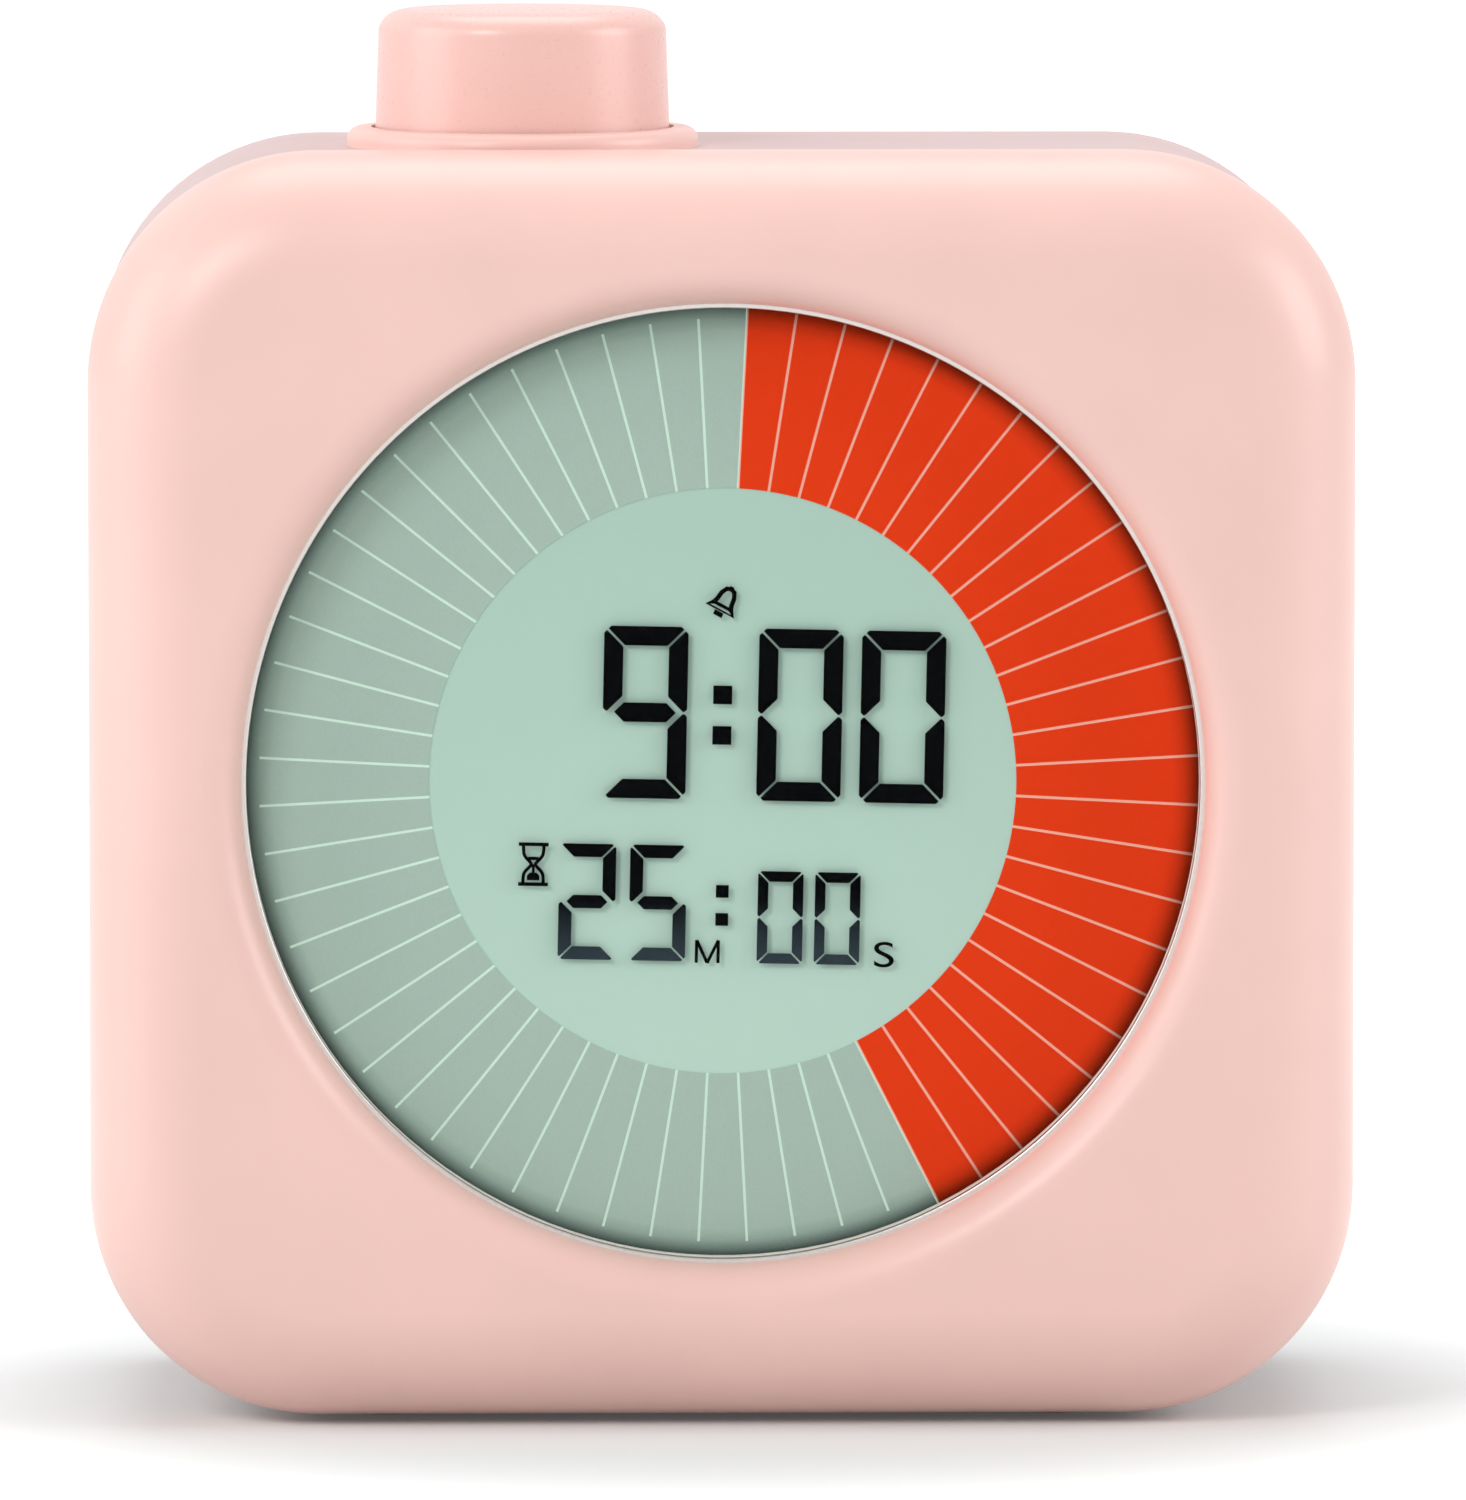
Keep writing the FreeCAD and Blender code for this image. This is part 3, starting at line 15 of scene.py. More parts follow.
import bmesh
import bpy
from bpy.types import ID, Material, Node, NodeSocket, Object, World
from mathutils import Matrix, Vector


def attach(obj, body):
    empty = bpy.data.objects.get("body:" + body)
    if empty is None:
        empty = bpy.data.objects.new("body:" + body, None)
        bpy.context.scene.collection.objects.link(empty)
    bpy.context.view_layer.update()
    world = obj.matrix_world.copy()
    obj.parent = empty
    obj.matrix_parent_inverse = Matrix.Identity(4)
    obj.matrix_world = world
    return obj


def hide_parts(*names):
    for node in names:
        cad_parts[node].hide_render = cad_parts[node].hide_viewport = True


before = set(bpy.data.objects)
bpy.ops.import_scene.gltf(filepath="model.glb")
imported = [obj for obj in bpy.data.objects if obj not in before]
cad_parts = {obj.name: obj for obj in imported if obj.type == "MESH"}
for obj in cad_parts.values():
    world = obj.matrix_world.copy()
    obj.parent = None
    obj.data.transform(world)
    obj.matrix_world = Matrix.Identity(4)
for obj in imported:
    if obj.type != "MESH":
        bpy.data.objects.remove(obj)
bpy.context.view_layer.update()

log = logging.getLogger("timer")
Colour = tuple[float, float, float]
Point = tuple[float, float, float]
Spot = tuple[float, float]

WELD = 1e-7            # metres: corners nearer than this are one
WINDOW_RISE = 45.9     # millimetres: height of the window's middle
WHITE = (1.0, 1.0, 1.0, 1.0)


def mm(value: float) -> float:
    """Turn millimetres to metres."""
    return value / 1000.0


def tone(red: int, green: int, blue: int) -> Colour:
    """Turn a screen colour, from 0 to 255, to the linear values that shaders take."""
    parts = [part / 255.0 for part in (red, green, blue)]
    return tuple(p / 12.92 if p <= 0.04045 else ((p + 0.055) / 1.055) ** 2.4 for p in parts)


def about_window(degrees: float) -> Matrix:
    """Return a turn about the window's axis, clockwise as seen from the front."""
    middle = Matrix.Translation((0.0, 0.0, mm(WINDOW_RISE)))
    return middle @ Matrix.Rotation(math.radians(degrees), 4, "Y") @ middle.inverted()


class NodeSketch:
    """Short-hand for laying out the shader nodes of a material or of the world."""

    def __init__(self, owner: Material | World) -> None:
        """Start an empty node tree with an output.

        Args:
            owner: The material or world that the nodes belong to.
        """
        self.owner = owner
        owner.use_nodes = True
        owner.node_tree.nodes.clear()
        kind = "World" if isinstance(owner, World) else "Material"
        self.output = self.add("ShaderNodeOutput" + kind)

    @classmethod
    def material(cls, name: str) -> "NodeSketch":
        """Start a new material's nodes."""
        return cls(bpy.data.materials.new(name))

    def add(self, kind: str, inputs: dict[str | int, object] | None = None,
            **settings: object) -> Node:
        """Add a node, set its properties and fill its inputs.

        Args:
            kind: The node's type name.
            inputs: Plain values, or sockets to link, by the input's name or number.
            settings: Properties of the node, by name.

        Returns:
            The new node.
        """
        node = self.owner.node_tree.nodes.new(kind)
        for key, value in settings.items():
            setattr(node, key, value)
        for key, value in (inputs or {}).items():
            if isinstance(value, NodeSocket):
                self.join(value, node.inputs[key])
            else:
                node.inputs[key].default_value = value
        return node

    def join(self, source: NodeSocket, target: NodeSocket) -> None:
        """Link one socket to another."""
        self.owner.node_tree.links.new(source, target)

    def math(self, operation: str, *values: object) -> NodeSocket:
        """Return the result of a sum on sockets or plain numbers."""
        return self.add("ShaderNodeMath", dict(enumerate(values)),
                        operation=operation).outputs["Value"]

    def vector(self, operation: str, *values: object) -> Node:
        """Return a sum on vector sockets or plain vectors, as its node."""
        return self.add("ShaderNodeVectorMath", dict(enumerate(values)), operation=operation)

    def place(self, stretch: Point = (1.0, 1.0, 1.0)) -> NodeSocket:
        """Return object coordinates, stretched by a scale per axis."""
        spot = self.add("ShaderNodeTexCoord").outputs["Object"]
        return self.add("ShaderNodeMapping", {"Vector": spot, "Scale": stretch}).outputs["Vector"]

    def noise(self, grain: float, detail: float,
              stretch: Point = (1.0, 1.0, 1.0)) -> NodeSocket:
        """Make a noise.

        Args:
            grain: Size of one blob in millimetres.
            detail: How many finer layers are added.
            stretch: Scale per axis, to draw the grain out one way.

        Returns:
            The noise's value.
        """
        texture = self.add("ShaderNodeTexNoise", {"Vector": self.place(stretch),
                                                  "Scale": 1.0 / mm(grain), "Detail": detail})
        return texture.outputs["Fac"]

    def ramp(self, value: NodeSocket, stops: Sequence[tuple[float, Colour]],
             smooth: bool = True) -> NodeSocket:
        """Turn a value to a colour by stops.

        Args:
            value: The socket that drives the ramp.
            stops: Places from 0 to 1 with their colours.
            smooth: Whether colours blend between the stops.

        Returns:
            The colour.
        """
        node = self.add("ShaderNodeValToRGB", {"Fac": value})
        node.color_ramp.interpolation = "LINEAR" if smooth else "CONSTANT"
        elements = node.color_ramp.elements
        while len(elements) < len(stops):
            elements.new(1.0)
        for element, (spot, colour) in zip(elements, stops):
            element.position = spot
            element.color = (*colour, 1.0)
        return node.outputs["Color"]

    def waver(self, value: NodeSocket, colour: Colour, share: float,
              low: float = 0.3, high: float = 0.7) -> NodeSocket:
        """Let a colour go from a little darker to a little lighter with a value.

        Args:
            value: The socket that drives it.
            colour: The colour in the middle.
            share: How much darker and lighter it gets, as a share.
            low, high: The value's ends.

        Returns:
            The colour.
        """
        darker = tuple(part * (1.0 - share) for part in colour)
        lighter = tuple(min(1.0, part * (1.0 + share)) for part in colour)
        return self.ramp(value, [(low, darker), (high, lighter)])

    def spread(self, value: NodeSocket, low: float, high: float, start: float = 0.0,
               end: float = 1.0, kind: str = "LINEAR") -> NodeSocket:
        """Map a value to another range, and hold it past the ends.

        Args:
            value: The socket to map.
            low, high: The new range.
            start, end: The value's own range.
            kind: How it goes from one end to the other.

        Returns:
            The mapped value.
        """
        node = self.add("ShaderNodeMapRange", {"Value": value, "From Min": start, "From Max": end,
                                               "To Min": low, "To Max": high},
                        interpolation_type=kind)
        return node.outputs["Result"]

    def along(self, axis: str, low: float, high: float) -> NodeSocket:
        """Return a value from 0 to 1 between two places along X or Z, in metres."""
        parts = self.add("ShaderNodeSeparateXYZ", {"Vector": self.place()})
        return self.spread(parts.outputs[axis], 0.0, 1.0, low, high)

    def bump(self, value: NodeSocket, depth: float) -> NodeSocket:
        """Return a normal bumped by a value, with its depth in millimetres."""
        inputs = {"Height": value, "Distance": mm(depth), "Strength": 1.0}
        return self.add("ShaderNodeBump", inputs).outputs["Normal"]

    def surface(self, **inputs: object) -> ID:
        """Add the main shader and wire it to the output.

        Args:
            inputs: Plain values or sockets by the input's name, with _ for a space.

        Returns:
            The finished material.
        """
        sockets = {key.replace("_", " "): value for key, value in inputs.items()}
        shader = self.add("ShaderNodeBsdfPrincipled", sockets)
        self.join(shader.outputs["BSDF"], self.output.inputs["Surface"])
        return self.owner

    def blend(self, share: NodeSocket, first: Node,
              second: Node) -> ID:
        """Wire two shaders to the output, mixed.

        Args:
            share: How much of the second shows.
            first, second: The two shaders.

        Returns:
            The finished material or world.
        """
        mix = self.add("ShaderNodeMixShader", {"Fac": share, 1: first.outputs[0],
                                               2: second.outputs[0]})
        self.join(mix.outputs["Shader"], self.output.inputs["Surface"])
        return self.owner


@dataclass(frozen=True)
class MouldedPlastic:
    """Spark-textured moulded plastic with a slight cloudiness of colour."""

    name: str
    colour: Colour
    roughness: float = 0.5
    cloud: float = 0.018
    cloud_size: float = 14.0
    grain: float = 0.35
    depth: float = 0.004
    specular: float = 0.5
    glossier: float = 0.05
    duller: float = 0.07

    def build(self) -> Material:
        """Make the finish.

        Returns:
            Its material.
        """
        sketch = NodeSketch.material(self.name)
        clouds = sketch.noise(self.cloud_size, 3.0)
        fine = sketch.noise(self.grain, 4.0)
        return sketch.surface(
            Specular_IOR_Level=self.specular,
            Base_Color=sketch.waver(clouds, self.colour, self.cloud, 0.35, 0.65),
            Roughness=sketch.spread(fine, self.roughness - self.glossier,
                                    self.roughness + self.duller),
            Normal=sketch.bump(fine, self.depth))


@dataclass(frozen=True)
class Metal:
    """Plated or turned metal with drawn-out fine scratches."""

    name: str
    colour: Colour
    roughness: float = 0.3
    grain: float = 0.4
    depth: float = 0.003
    stretch: Point = (1.0, 1.0, 1.0)
    tarnish: float = 0.9
    polished: float = 0.8
    worn: float = 1.25

    def build(self) -> Material:
        """Make the finish.

        Returns:
            Its material.
        """
        sketch = NodeSketch.material(self.name)
        streaks = sketch.noise(self.grain, 5.0, self.stretch)
        dull = tuple(part * self.tarnish for part in self.colour)
        return sketch.surface(
            Metallic=1.0,
            Base_Color=sketch.ramp(streaks, [(0.3, dull), (0.7, self.colour)]),
            Roughness=sketch.spread(streaks, self.roughness * self.polished,
                                    self.roughness * self.worn),
            Normal=sketch.bump(streaks, self.depth))


@dataclass(frozen=True)
class ClearPane:
    """Flat clear plastic: see-through, with a weak reflection and faint haze."""

    name: str
    roughness: float = 0.04
    gloss: float = 0.03
    bending: float = 1.4
    haze_size: float = 9.0

    def build(self) -> Material:
        """Make the finish.

        Returns:
            Its material.
        """
        sketch = NodeSketch.material(self.name)
        haze = sketch.spread(sketch.noise(self.haze_size, 3.0), self.roughness,
                             self.roughness * 2.0)
        edge = sketch.add("ShaderNodeFresnel", {"IOR": self.bending})
        return sketch.blend(sketch.math("MULTIPLY", edge.outputs["Fac"], self.gloss),
                            sketch.add("ShaderNodeBsdfTransparent"),
                            sketch.add("ShaderNodeBsdfGlossy", {"Roughness": haze}))


@dataclass(frozen=True)
class PrintedInk:
    """Flat printed or liquid crystal colour, with the fine tooth of a polariser film; where rim is
    set, a painted shadow of the window's edge darkens it near the display's border.
    """

    name: str
    colour: Colour
    # rim: strength of the painted shadow of the window's edge; 0 leaves it out.
    rim: float = 0.0
    roughness: float = 0.45
    rough_reach: float = 0.08
    mottle: float = 0.03
    tooth: float = 0.12
    # Radii where the painted shadow starts and where it is darkest, and its steps from no shade to
    # deep shade.
    rim_inner: float = 32.0
    rim_outer: float = 33.9
    painted_rim_shadow_steps: ClassVar = [(0.0, (1.0, 1.0, 1.0)), (0.4, (0.8, 0.82, 0.82)),
                            (0.75, (0.42, 0.44, 0.44)), (1.0, (0.16, 0.18, 0.18))]

    def build(self) -> Material:
        """Make the finish.

        Returns:
            Its material.
        """
        sketch = NodeSketch.material(self.name)
        tooth = sketch.noise(self.tooth, 3.0)
        colour = sketch.waver(tooth, self.colour, self.mottle)
        # Multiply in the painted shadow of the window's edge.
        if self.rim > 0:
            colour = sketch.add("ShaderNodeMix", {"Factor": self.rim, "A": colour,
                                                  "B": self.painted_rim_shadow(sketch)},
                                data_type="RGBA", blend_type="MULTIPLY").outputs["Result"]
        low, high = self.roughness - self.rough_reach, self.roughness + self.rough_reach
        return sketch.surface(Specular_IOR_Level=0.0, Base_Color=colour,
                              Roughness=sketch.spread(tooth, low, high))

    def painted_rim_shadow(self, sketch: NodeSketch) -> NodeSocket:
        """Paint the shadow that the window's edge casts on the display's border, all round.

        Args:
            sketch: The material's nodes.

        Returns:
            A colour to multiply.
        """
        centred = sketch.vector("SUBTRACT", sketch.place(), (0.0, 0.0, mm(WINDOW_RISE)))
        flat = sketch.vector("MULTIPLY", centred.outputs["Vector"], (1.0, 0.0, 1.0))
        reach = sketch.vector("LENGTH", flat.outputs["Vector"]).outputs["Value"]
        fade = sketch.spread(reach, 0.0, 1.0, mm(self.rim_inner), mm(self.rim_outer))
        return sketch.ramp(fade, self.painted_rim_shadow_steps)


@dataclass(frozen=True)
class ShadedInk:
    """Colour that goes from one tone at the bottom to another at the top, between two heights of
    the display, in millimetres.
    """

    name: str
    bottom: Colour
    top: Colour
    low: float
    high: float
    tooth: float = 0.12
    wobble: float = 0.08

    def build(self) -> Material:
        """Make the finish.

        Returns:
            Its material.
        """
        sketch = NodeSketch.material(self.name)
        rise = sketch.math("MULTIPLY_ADD", sketch.noise(self.tooth, 3.0), self.wobble,
                           sketch.along("Z", mm(self.low), mm(self.high)))
        colour = sketch.ramp(rise, [(0.0, self.bottom), (1.0, self.top)])
        return sketch.surface(Specular_IOR_Level=0.0, Roughness=0.45, Base_Color=colour)


@dataclass(frozen=True)
class CircuitBoard:
    """Green solder mask over a faint pattern of tracks."""

    name: str
    mask: Colour
    track: Colour
    pitch: float = 7.0
    track_width: float = 0.03
    depth: float = 0.02

    def build(self) -> Material:
        """Make the finish.

        Returns:
            Its material.
        """
        sketch = NodeSketch.material(self.name)
        darker = tuple(part * 0.85 for part in self.mask)
        tracks = sketch.add("ShaderNodeTexBrick", {
            "Vector": sketch.place(), "Scale": 1.0 / mm(self.pitch),
            "Mortar Size": self.track_width, "Color1": (*self.mask, 1.0),
            "Color2": (*darker, 1.0), "Mortar": (*self.track, 1.0)})
        return sketch.surface(Roughness=0.35, Coat_Weight=0.3,
                              Base_Color=tracks.outputs["Color"],
                              Normal=sketch.bump(tracks.outputs["Fac"], -self.depth))


@dataclass(frozen=True)
class SoftRubber:
    """Matt rubber or foam with a fine skin."""

    name: str
    colour: Colour
    grain: float = 0.5
    depth: float = 0.02
    roughness: Spot = (0.7, 0.9)

    def build(self) -> Material:
        """Make the finish.

        Returns:
            Its material.
        """
        sketch = NodeSketch.material(self.name)
        skin = sketch.noise(self.grain, 4.0)
        worn = tuple(min(1.0, part * 1.15 + 0.01) for part in self.colour)
        return sketch.surface(
            Specular_IOR_Level=0.3, Sheen_Weight=0.15,
            Base_Color=sketch.ramp(skin, [(0.35, self.colour), (0.75, worn)]),
            Roughness=sketch.spread(skin, *self.roughness), Normal=sketch.bump(skin, self.depth))


@dataclass(frozen=True)
class CellWrap:
    """Printed metal sleeve of a small round cell: a bright band at each end of a dark can."""

    name: str
    can: Colour
    band: Colour
    reach: float = 24.0
    band_share: float = 0.2
    grain: float = 1.5
    roughness: Spot = (0.28, 0.4)

    def build(self) -> Material:
        """Make the finish.

        Returns:
            Its material.
        """
        sketch = NodeSketch.material(self.name)
        stops = [(0.0, self.band), (self.band_share, self.can), (1 - self.band_share, self.band)]
        along = sketch.along("X", -mm(self.reach), mm(self.reach))
        return sketch.surface(
            Metallic=0.6, Base_Color=sketch.ramp(along, stops, smooth=False),
            Roughness=sketch.spread(sketch.noise(self.grain, 3.0), *self.roughness))


class Finishes:
    """Every finish of the timer, each made once when it is first asked for."""

    STOCK: ClassVar[dict[str, object]] = {
        "face": MouldedPlastic("pink_face_plastic", tone(240, 198, 189), 0.36),
        # Painted shade: the front's pink made darker and greyer to stand for the shade on the top
        # face; worn by the rear shell and the battery door.
        "back": MouldedPlastic("painted_shade_pink_plastic", tone(212, 187, 186), specular=0.25),
        "knob": MouldedPlastic("pink_knob_plastic", tone(238, 192, 183), 0.28, depth=0.001),
        "white": MouldedPlastic("white_plastic", tone(236, 234, 228)),
        "black": MouldedPlastic("black_plastic", tone(38, 38, 40), 0.42),
        "button": MouldedPlastic("off_white_plastic", tone(246, 240, 234), 0.42),
        "guide": MouldedPlastic("milky_guide_plastic", tone(240, 243, 240), 0.2),
        "trim": Metal("plated_trim", tone(196, 188, 184)),
        "steel": Metal("zinc_steel", tone(176, 177, 180), 0.34),
        "contact": Metal("nickel_spring_steel", tone(205, 203, 198), 0.25,
                         stretch=(1.0, 1.0, 8.0)),
        "brass": Metal("plated_brass", tone(214, 184, 116), 0.28),
        "shaft": Metal("turned_alloy", tone(196, 198, 201), stretch=(1.0, 1.0, 12.0)),
        "die_cast": Metal("die_cast_alloy", tone(178, 180, 184), 0.45),
        "board": CircuitBoard("green_board", tone(24, 110, 62), tone(60, 150, 92)),
        "foam": SoftRubber("black_foam", tone(34, 34, 36)),
        "foot": SoftRubber("pale_rubber", tone(222, 200, 196)),
        "elastomer": SoftRubber("contact_rubber", tone(206, 150, 158)),
        "cone": SoftRubber("speaker_cone_film", tone(40, 40, 44), grain=1.2),
        "lamp": PrintedInk("lamp_resin", tone(246, 242, 206)),
        "cell": CellWrap("cell_sleeve", tone(40, 74, 96), tone(206, 190, 150)),
        "pane": ClearPane("clear_pane"),
        "panel": ShadedInk("display_green", tone(188, 218, 204), tone(177, 208, 194),
                           25.0, 66.0),
        "film": PrintedInk("film_green", tone(180, 206, 192)),
        "figure": PrintedInk("dark_figure", tone(8, 9, 11)),
        "figure_soft": ShadedInk("slate_figure", tone(50, 62, 68), tone(8, 9, 11), 33.6, 37.6),
        # The segments and the pale red lines take the painted shadow of the window's edge towards
        # the display's border.
        "red": PrintedInk("red_segment", tone(232, 62, 24), rim=1.0),
        "green": PrintedInk("grey_green_segment", tone(170, 193, 181), rim=1.0),
        "red_line": PrintedInk("pale_red_line", tone(248, 186, 164), rim=0.8),
        "green_line": PrintedInk("pale_green_line", tone(216, 243, 228)),
    }

    @classmethod
    @cache
    def get(cls, key: str) -> Material:
        """Give the material of a finish by its short name."""
        return cls.STOCK[key].build()


# Modelling steps. Each starts from a clean selection.

def deselect() -> None:
    """Deselect every object."""
    bpy.ops.object.select_all(action="DESELECT")


def take(piece: Object) -> None:
    """Make one object the only selected and active one.

    Args:
        piece: The object.
    """
    deselect()
    piece.select_set(True)
    bpy.context.view_layer.objects.active = piece


@contextmanager
def editing(piece: Object) -> Iterator[None]:
    """Hold one object in edit mode, with all of it selected at first.

    Args:
        piece: The object.
    """
    take(piece)
    bpy.ops.object.mode_set(mode="EDIT")
    bpy.ops.mesh.select_all(action="SELECT")
    yield
    bpy.ops.object.mode_set(mode="OBJECT")


def named(name: str) -> Object:
    """Name the active object.

    Args:
        name: Its new name.

    Returns:
        The object.
    """
    piece = bpy.context.active_object
    piece.name = piece.data.name = name
    return piece


def settle(piece: Object) -> None:
    """Move the object's place into its mesh."""
    take(piece)
    bpy.ops.object.transform_apply(location=True, rotation=True, scale=True)


def copied(piece: Object, move: Matrix) -> Object:
    """Copy a piece with its own mesh.

    Args:
        piece: The piece to copy.
        move: Where the copy goes from there.

    Returns:
        The copy.
    """
    take(piece)
    bpy.ops.object.duplicate()
    bpy.context.active_object.data.transform(move)
    return bpy.context.active_object


def box(name: str, low: Point, high: Point) -> Object:
    """Add a box.

    Args:
        name: The piece's name.
        low, high: Two opposite corners, in millimetres.

    Returns:
        The box.
    """
    deselect()
    middle = [mm((a + b) / 2) for a, b in zip(low, high)]
    bpy.ops.mesh.primitive_cube_add(size=1.0, location=middle)
    piece = named(name)
    piece.scale = [mm(b - a) for a, b in zip(low, high)]
    settle(piece)
    return piece


def wire(name: str, points: Sequence[Vector], closed: bool = False) -> Object:
    """Make a bare line of edges.

    Args:
        name: The piece's name.
        points: The line's points, in metres.
        closed: Whether the last point joins the first.

    Returns:
        The line.
    """
    deselect()
    bpy.ops.mesh.primitive_plane_add(size=mm(1.0))
    piece = named(name)
    with editing(piece):
        bpy.ops.mesh.delete(type="VERT")
        mesh = bmesh.from_edit_mesh(piece.data)
        line = [mesh.verts.new(point) for point in points]
        for ends in zip(line, line[1:] + line[:1] * closed):
            mesh.edges.new(ends)
        bmesh.update_edit_mesh(piece.data)
    return piece


def lathe(name: str, profile: Sequence[Spot], sides: int) -> Object:
    """Spin a profile about the window's axis.

    Args:
        name: The piece's name.
        profile: Points as (distance from the axis, Y), in millimetres. It may start and
            end on the axis.
        sides: Number of sides of the round shape.

    Returns:
        The solid.
    """
    middle = Vector((0.0, 0.0, mm(WINDOW_RISE)))
    points = [middle + Vector((mm(radius), mm(y), 0.0)) for radius, y in profile]
    piece = wire(name, points, closed=profile[0][0] > 0)
    with editing(piece):
        bpy.ops.mesh.spin(steps=sides, angle=math.tau, center=middle, axis=(0.0, 1.0, 0.0))
        bpy.ops.mesh.select_all(action="SELECT")
        bpy.ops.mesh.remove_doubles(threshold=WELD)
        bpy.ops.mesh.normals_make_consistent(inside=False)
    return piece


def rolled_edge(radius: float, front: float, size: float, steps: int) -> list[Spot]:
    """Lay out a ring's rounded inner edge, from its front face in.

    Args:
        radius: The ring's inner radius, in millimetres.
        front: Place of its front face.
        size: Radius of the round.
        steps: Number of faces across it.

    Returns:
        The profile's points.
    """
    turns = [math.pi / 2 * step / steps for step in range(steps + 1)]
    return [(radius + size * (1 - math.sin(turn)), front + size * (1 - math.cos(turn)))
            for turn in turns]


def slice_off(spot: Sequence[float], out: Sequence[float], fill: bool = True) -> None:
    """In edit mode, remove all that lies past a plane.

    Args:
        spot: A point of the plane, in metres.
        out: The way out of the plane, towards what is removed.
        fill: Whether the cut is closed.
    """
    bpy.ops.mesh.select_all(action="SELECT")
    bpy.ops.mesh.bisect(plane_co=spot, plane_no=out, use_fill=fill, clear_outer=True,
                        threshold=WELD)


def bevel(piece: Object, size: float, steps: int,
          test: Callable[[Vector, Vector], bool]) -> None:
    """Round the edges that pass a test.

    Args:
        piece: The piece.
        size: Size of the round, in millimetres.
        steps: Number of faces across it.
        test: Called with the two ends of each edge, in metres.
    """
    with editing(piece):
        bpy.ops.mesh.select_mode(type="EDGE")
        bpy.ops.mesh.select_all(action="DESELECT")
        mesh = bmesh.from_edit_mesh(piece.data)
        for edge in mesh.edges:
            edge.select_set(test(*(end.co for end in edge.verts)))
        bmesh.update_edit_mesh(piece.data)
        bpy.ops.mesh.bevel(offset=mm(size), segments=steps, profile=0.5,
                           clamp_overlap=False)


def shade(piece: Object, degrees: float) -> None:
    """Shade the piece smoothly, with sharp edges past an angle."""
    take(piece)
    bpy.ops.object.shade_smooth_by_angle(angle=math.radians(degrees))


def modify(piece: Object, kind: str, **settings: object) -> None:
    """Add a modifier and apply it.

    Args:
        piece: The piece.
        kind: The modifier's type name.
        settings: Its properties, by name.
    """
    take(piece)
    bpy.ops.object.modifier_add(type=kind)
    modifier = piece.modifiers[-1]
    for key, value in settings.items():
        setattr(modifier, key, value)
    bpy.ops.object.modifier_apply(modifier=modifier.name)


def carve(piece: Object, cutter: Object) -> None:
    """Cut one closed shape out of another and remove the cutter."""
    modify(piece, "BOOLEAN", operation="DIFFERENCE", object=cutter, solver="EXACT")
    bpy.data.objects.remove(cutter)


def merge(name: str, pieces: Sequence[Object]) -> Object:
    """Join pieces into one object.

    Args:
        name: The object's name.
        pieces: One or more pieces.

    Returns:
        The joined object.
    """
    take(pieces[0])
    for piece in pieces:
        piece.select_set(True)
    if len(pieces) > 1:
        bpy.ops.object.join()
    return named(name)


def finish(piece: Object, body: str, slot: str, material: str,
           *replaced: str) -> None:
    """Give a new piece its finish and its body, and hide the nodes that it stands for.

    Args:
        piece: The new piece.
        body: Name of the body that it rides on.
        slot: Name of the record's material slot; not used.
        material: Short name of its finish.
        replaced: Names of the nodes that it hides.
    """
    piece.data.materials.clear()
    piece.data.materials.append(Finishes.get(material))
    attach(piece, body)
    for node in replaced:
        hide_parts(node)
    log.info("%s rides on %s in %s", piece.name, body, material)


@dataclass
class FrontCover:
    """Pink front half of the housing, with the rolled lip round its window."""

    half: float = 45.0
    low: float = 0.5
    front: float = -25.0
    parting: float = -14.5
    corner: float = 16.4
    corner_steps: int = 28
    edge: float = 8.0
    edge_steps: int = 16
    wall: float = 2.2
    window: float = 34.1
    window_sides: int = 192
    lip: float = 3.0
    lip_steps: int = 14
    seat: float = -20.4
    ring: float = 38.0
    ring_sides: int = 160
    spare: float = 1.0
    crease: float = 35.0

    def block(self, inset: float, front: float, back: float) -> Object:
        """Make a rounded block that fills the housing's outline.

        Args:
            inset: How far its outline and its rounds are drawn in.
            front, back: Places of its front and back faces.

        Returns:
            The block.
        """
        high = self.low + 2 * self.half
        reach = self.half - inset
        block = box("cover_block", (-reach, front, self.low + inset),
                    (reach, back, high - inset))
        bevel(block, self.corner - inset, self.corner_steps,
              lambda one, two: abs(one.y - two.y) > mm(1.0))
        bevel(block, self.edge - inset, self.edge_steps,
              lambda *ends: all(abs(end.y - mm(front)) < WELD for end in ends))
        return block

    def build(self) -> None:
        """Model the cover: a shell, the boss that carries the lens, and the window."""
        cover = self.block(0.0, self.front, self.parting)
        hollow = self.block(self.wall, self.front + self.wall, self.parting + self.spare)
        before, behind = self.front - self.spare, self.parting + 2 * self.spare
        carve(hollow, lathe(
            "lens_boss", [(0.0, before - self.spare), (self.ring, before - self.spare),
                          (self.ring, self.seat), (0.0, self.seat)], self.ring_sides))
        carve(cover, hollow)
        rim = rolled_edge(self.window, self.front, self.lip, self.lip_steps)
        carve(cover, lathe(
            "window_cut", [(0.0, before), (rim[0][0], before), *rim, (self.window, behind),
                           (0.0, behind)], self.window_sides))
        cover = merge("front_cover", [cover])
        shade(cover, self.crease)
        modify(cover, "WEIGHTED_NORMAL", keep_sharp=True)
        finish(cover, "root", "front_shell", "face", "front_shell")


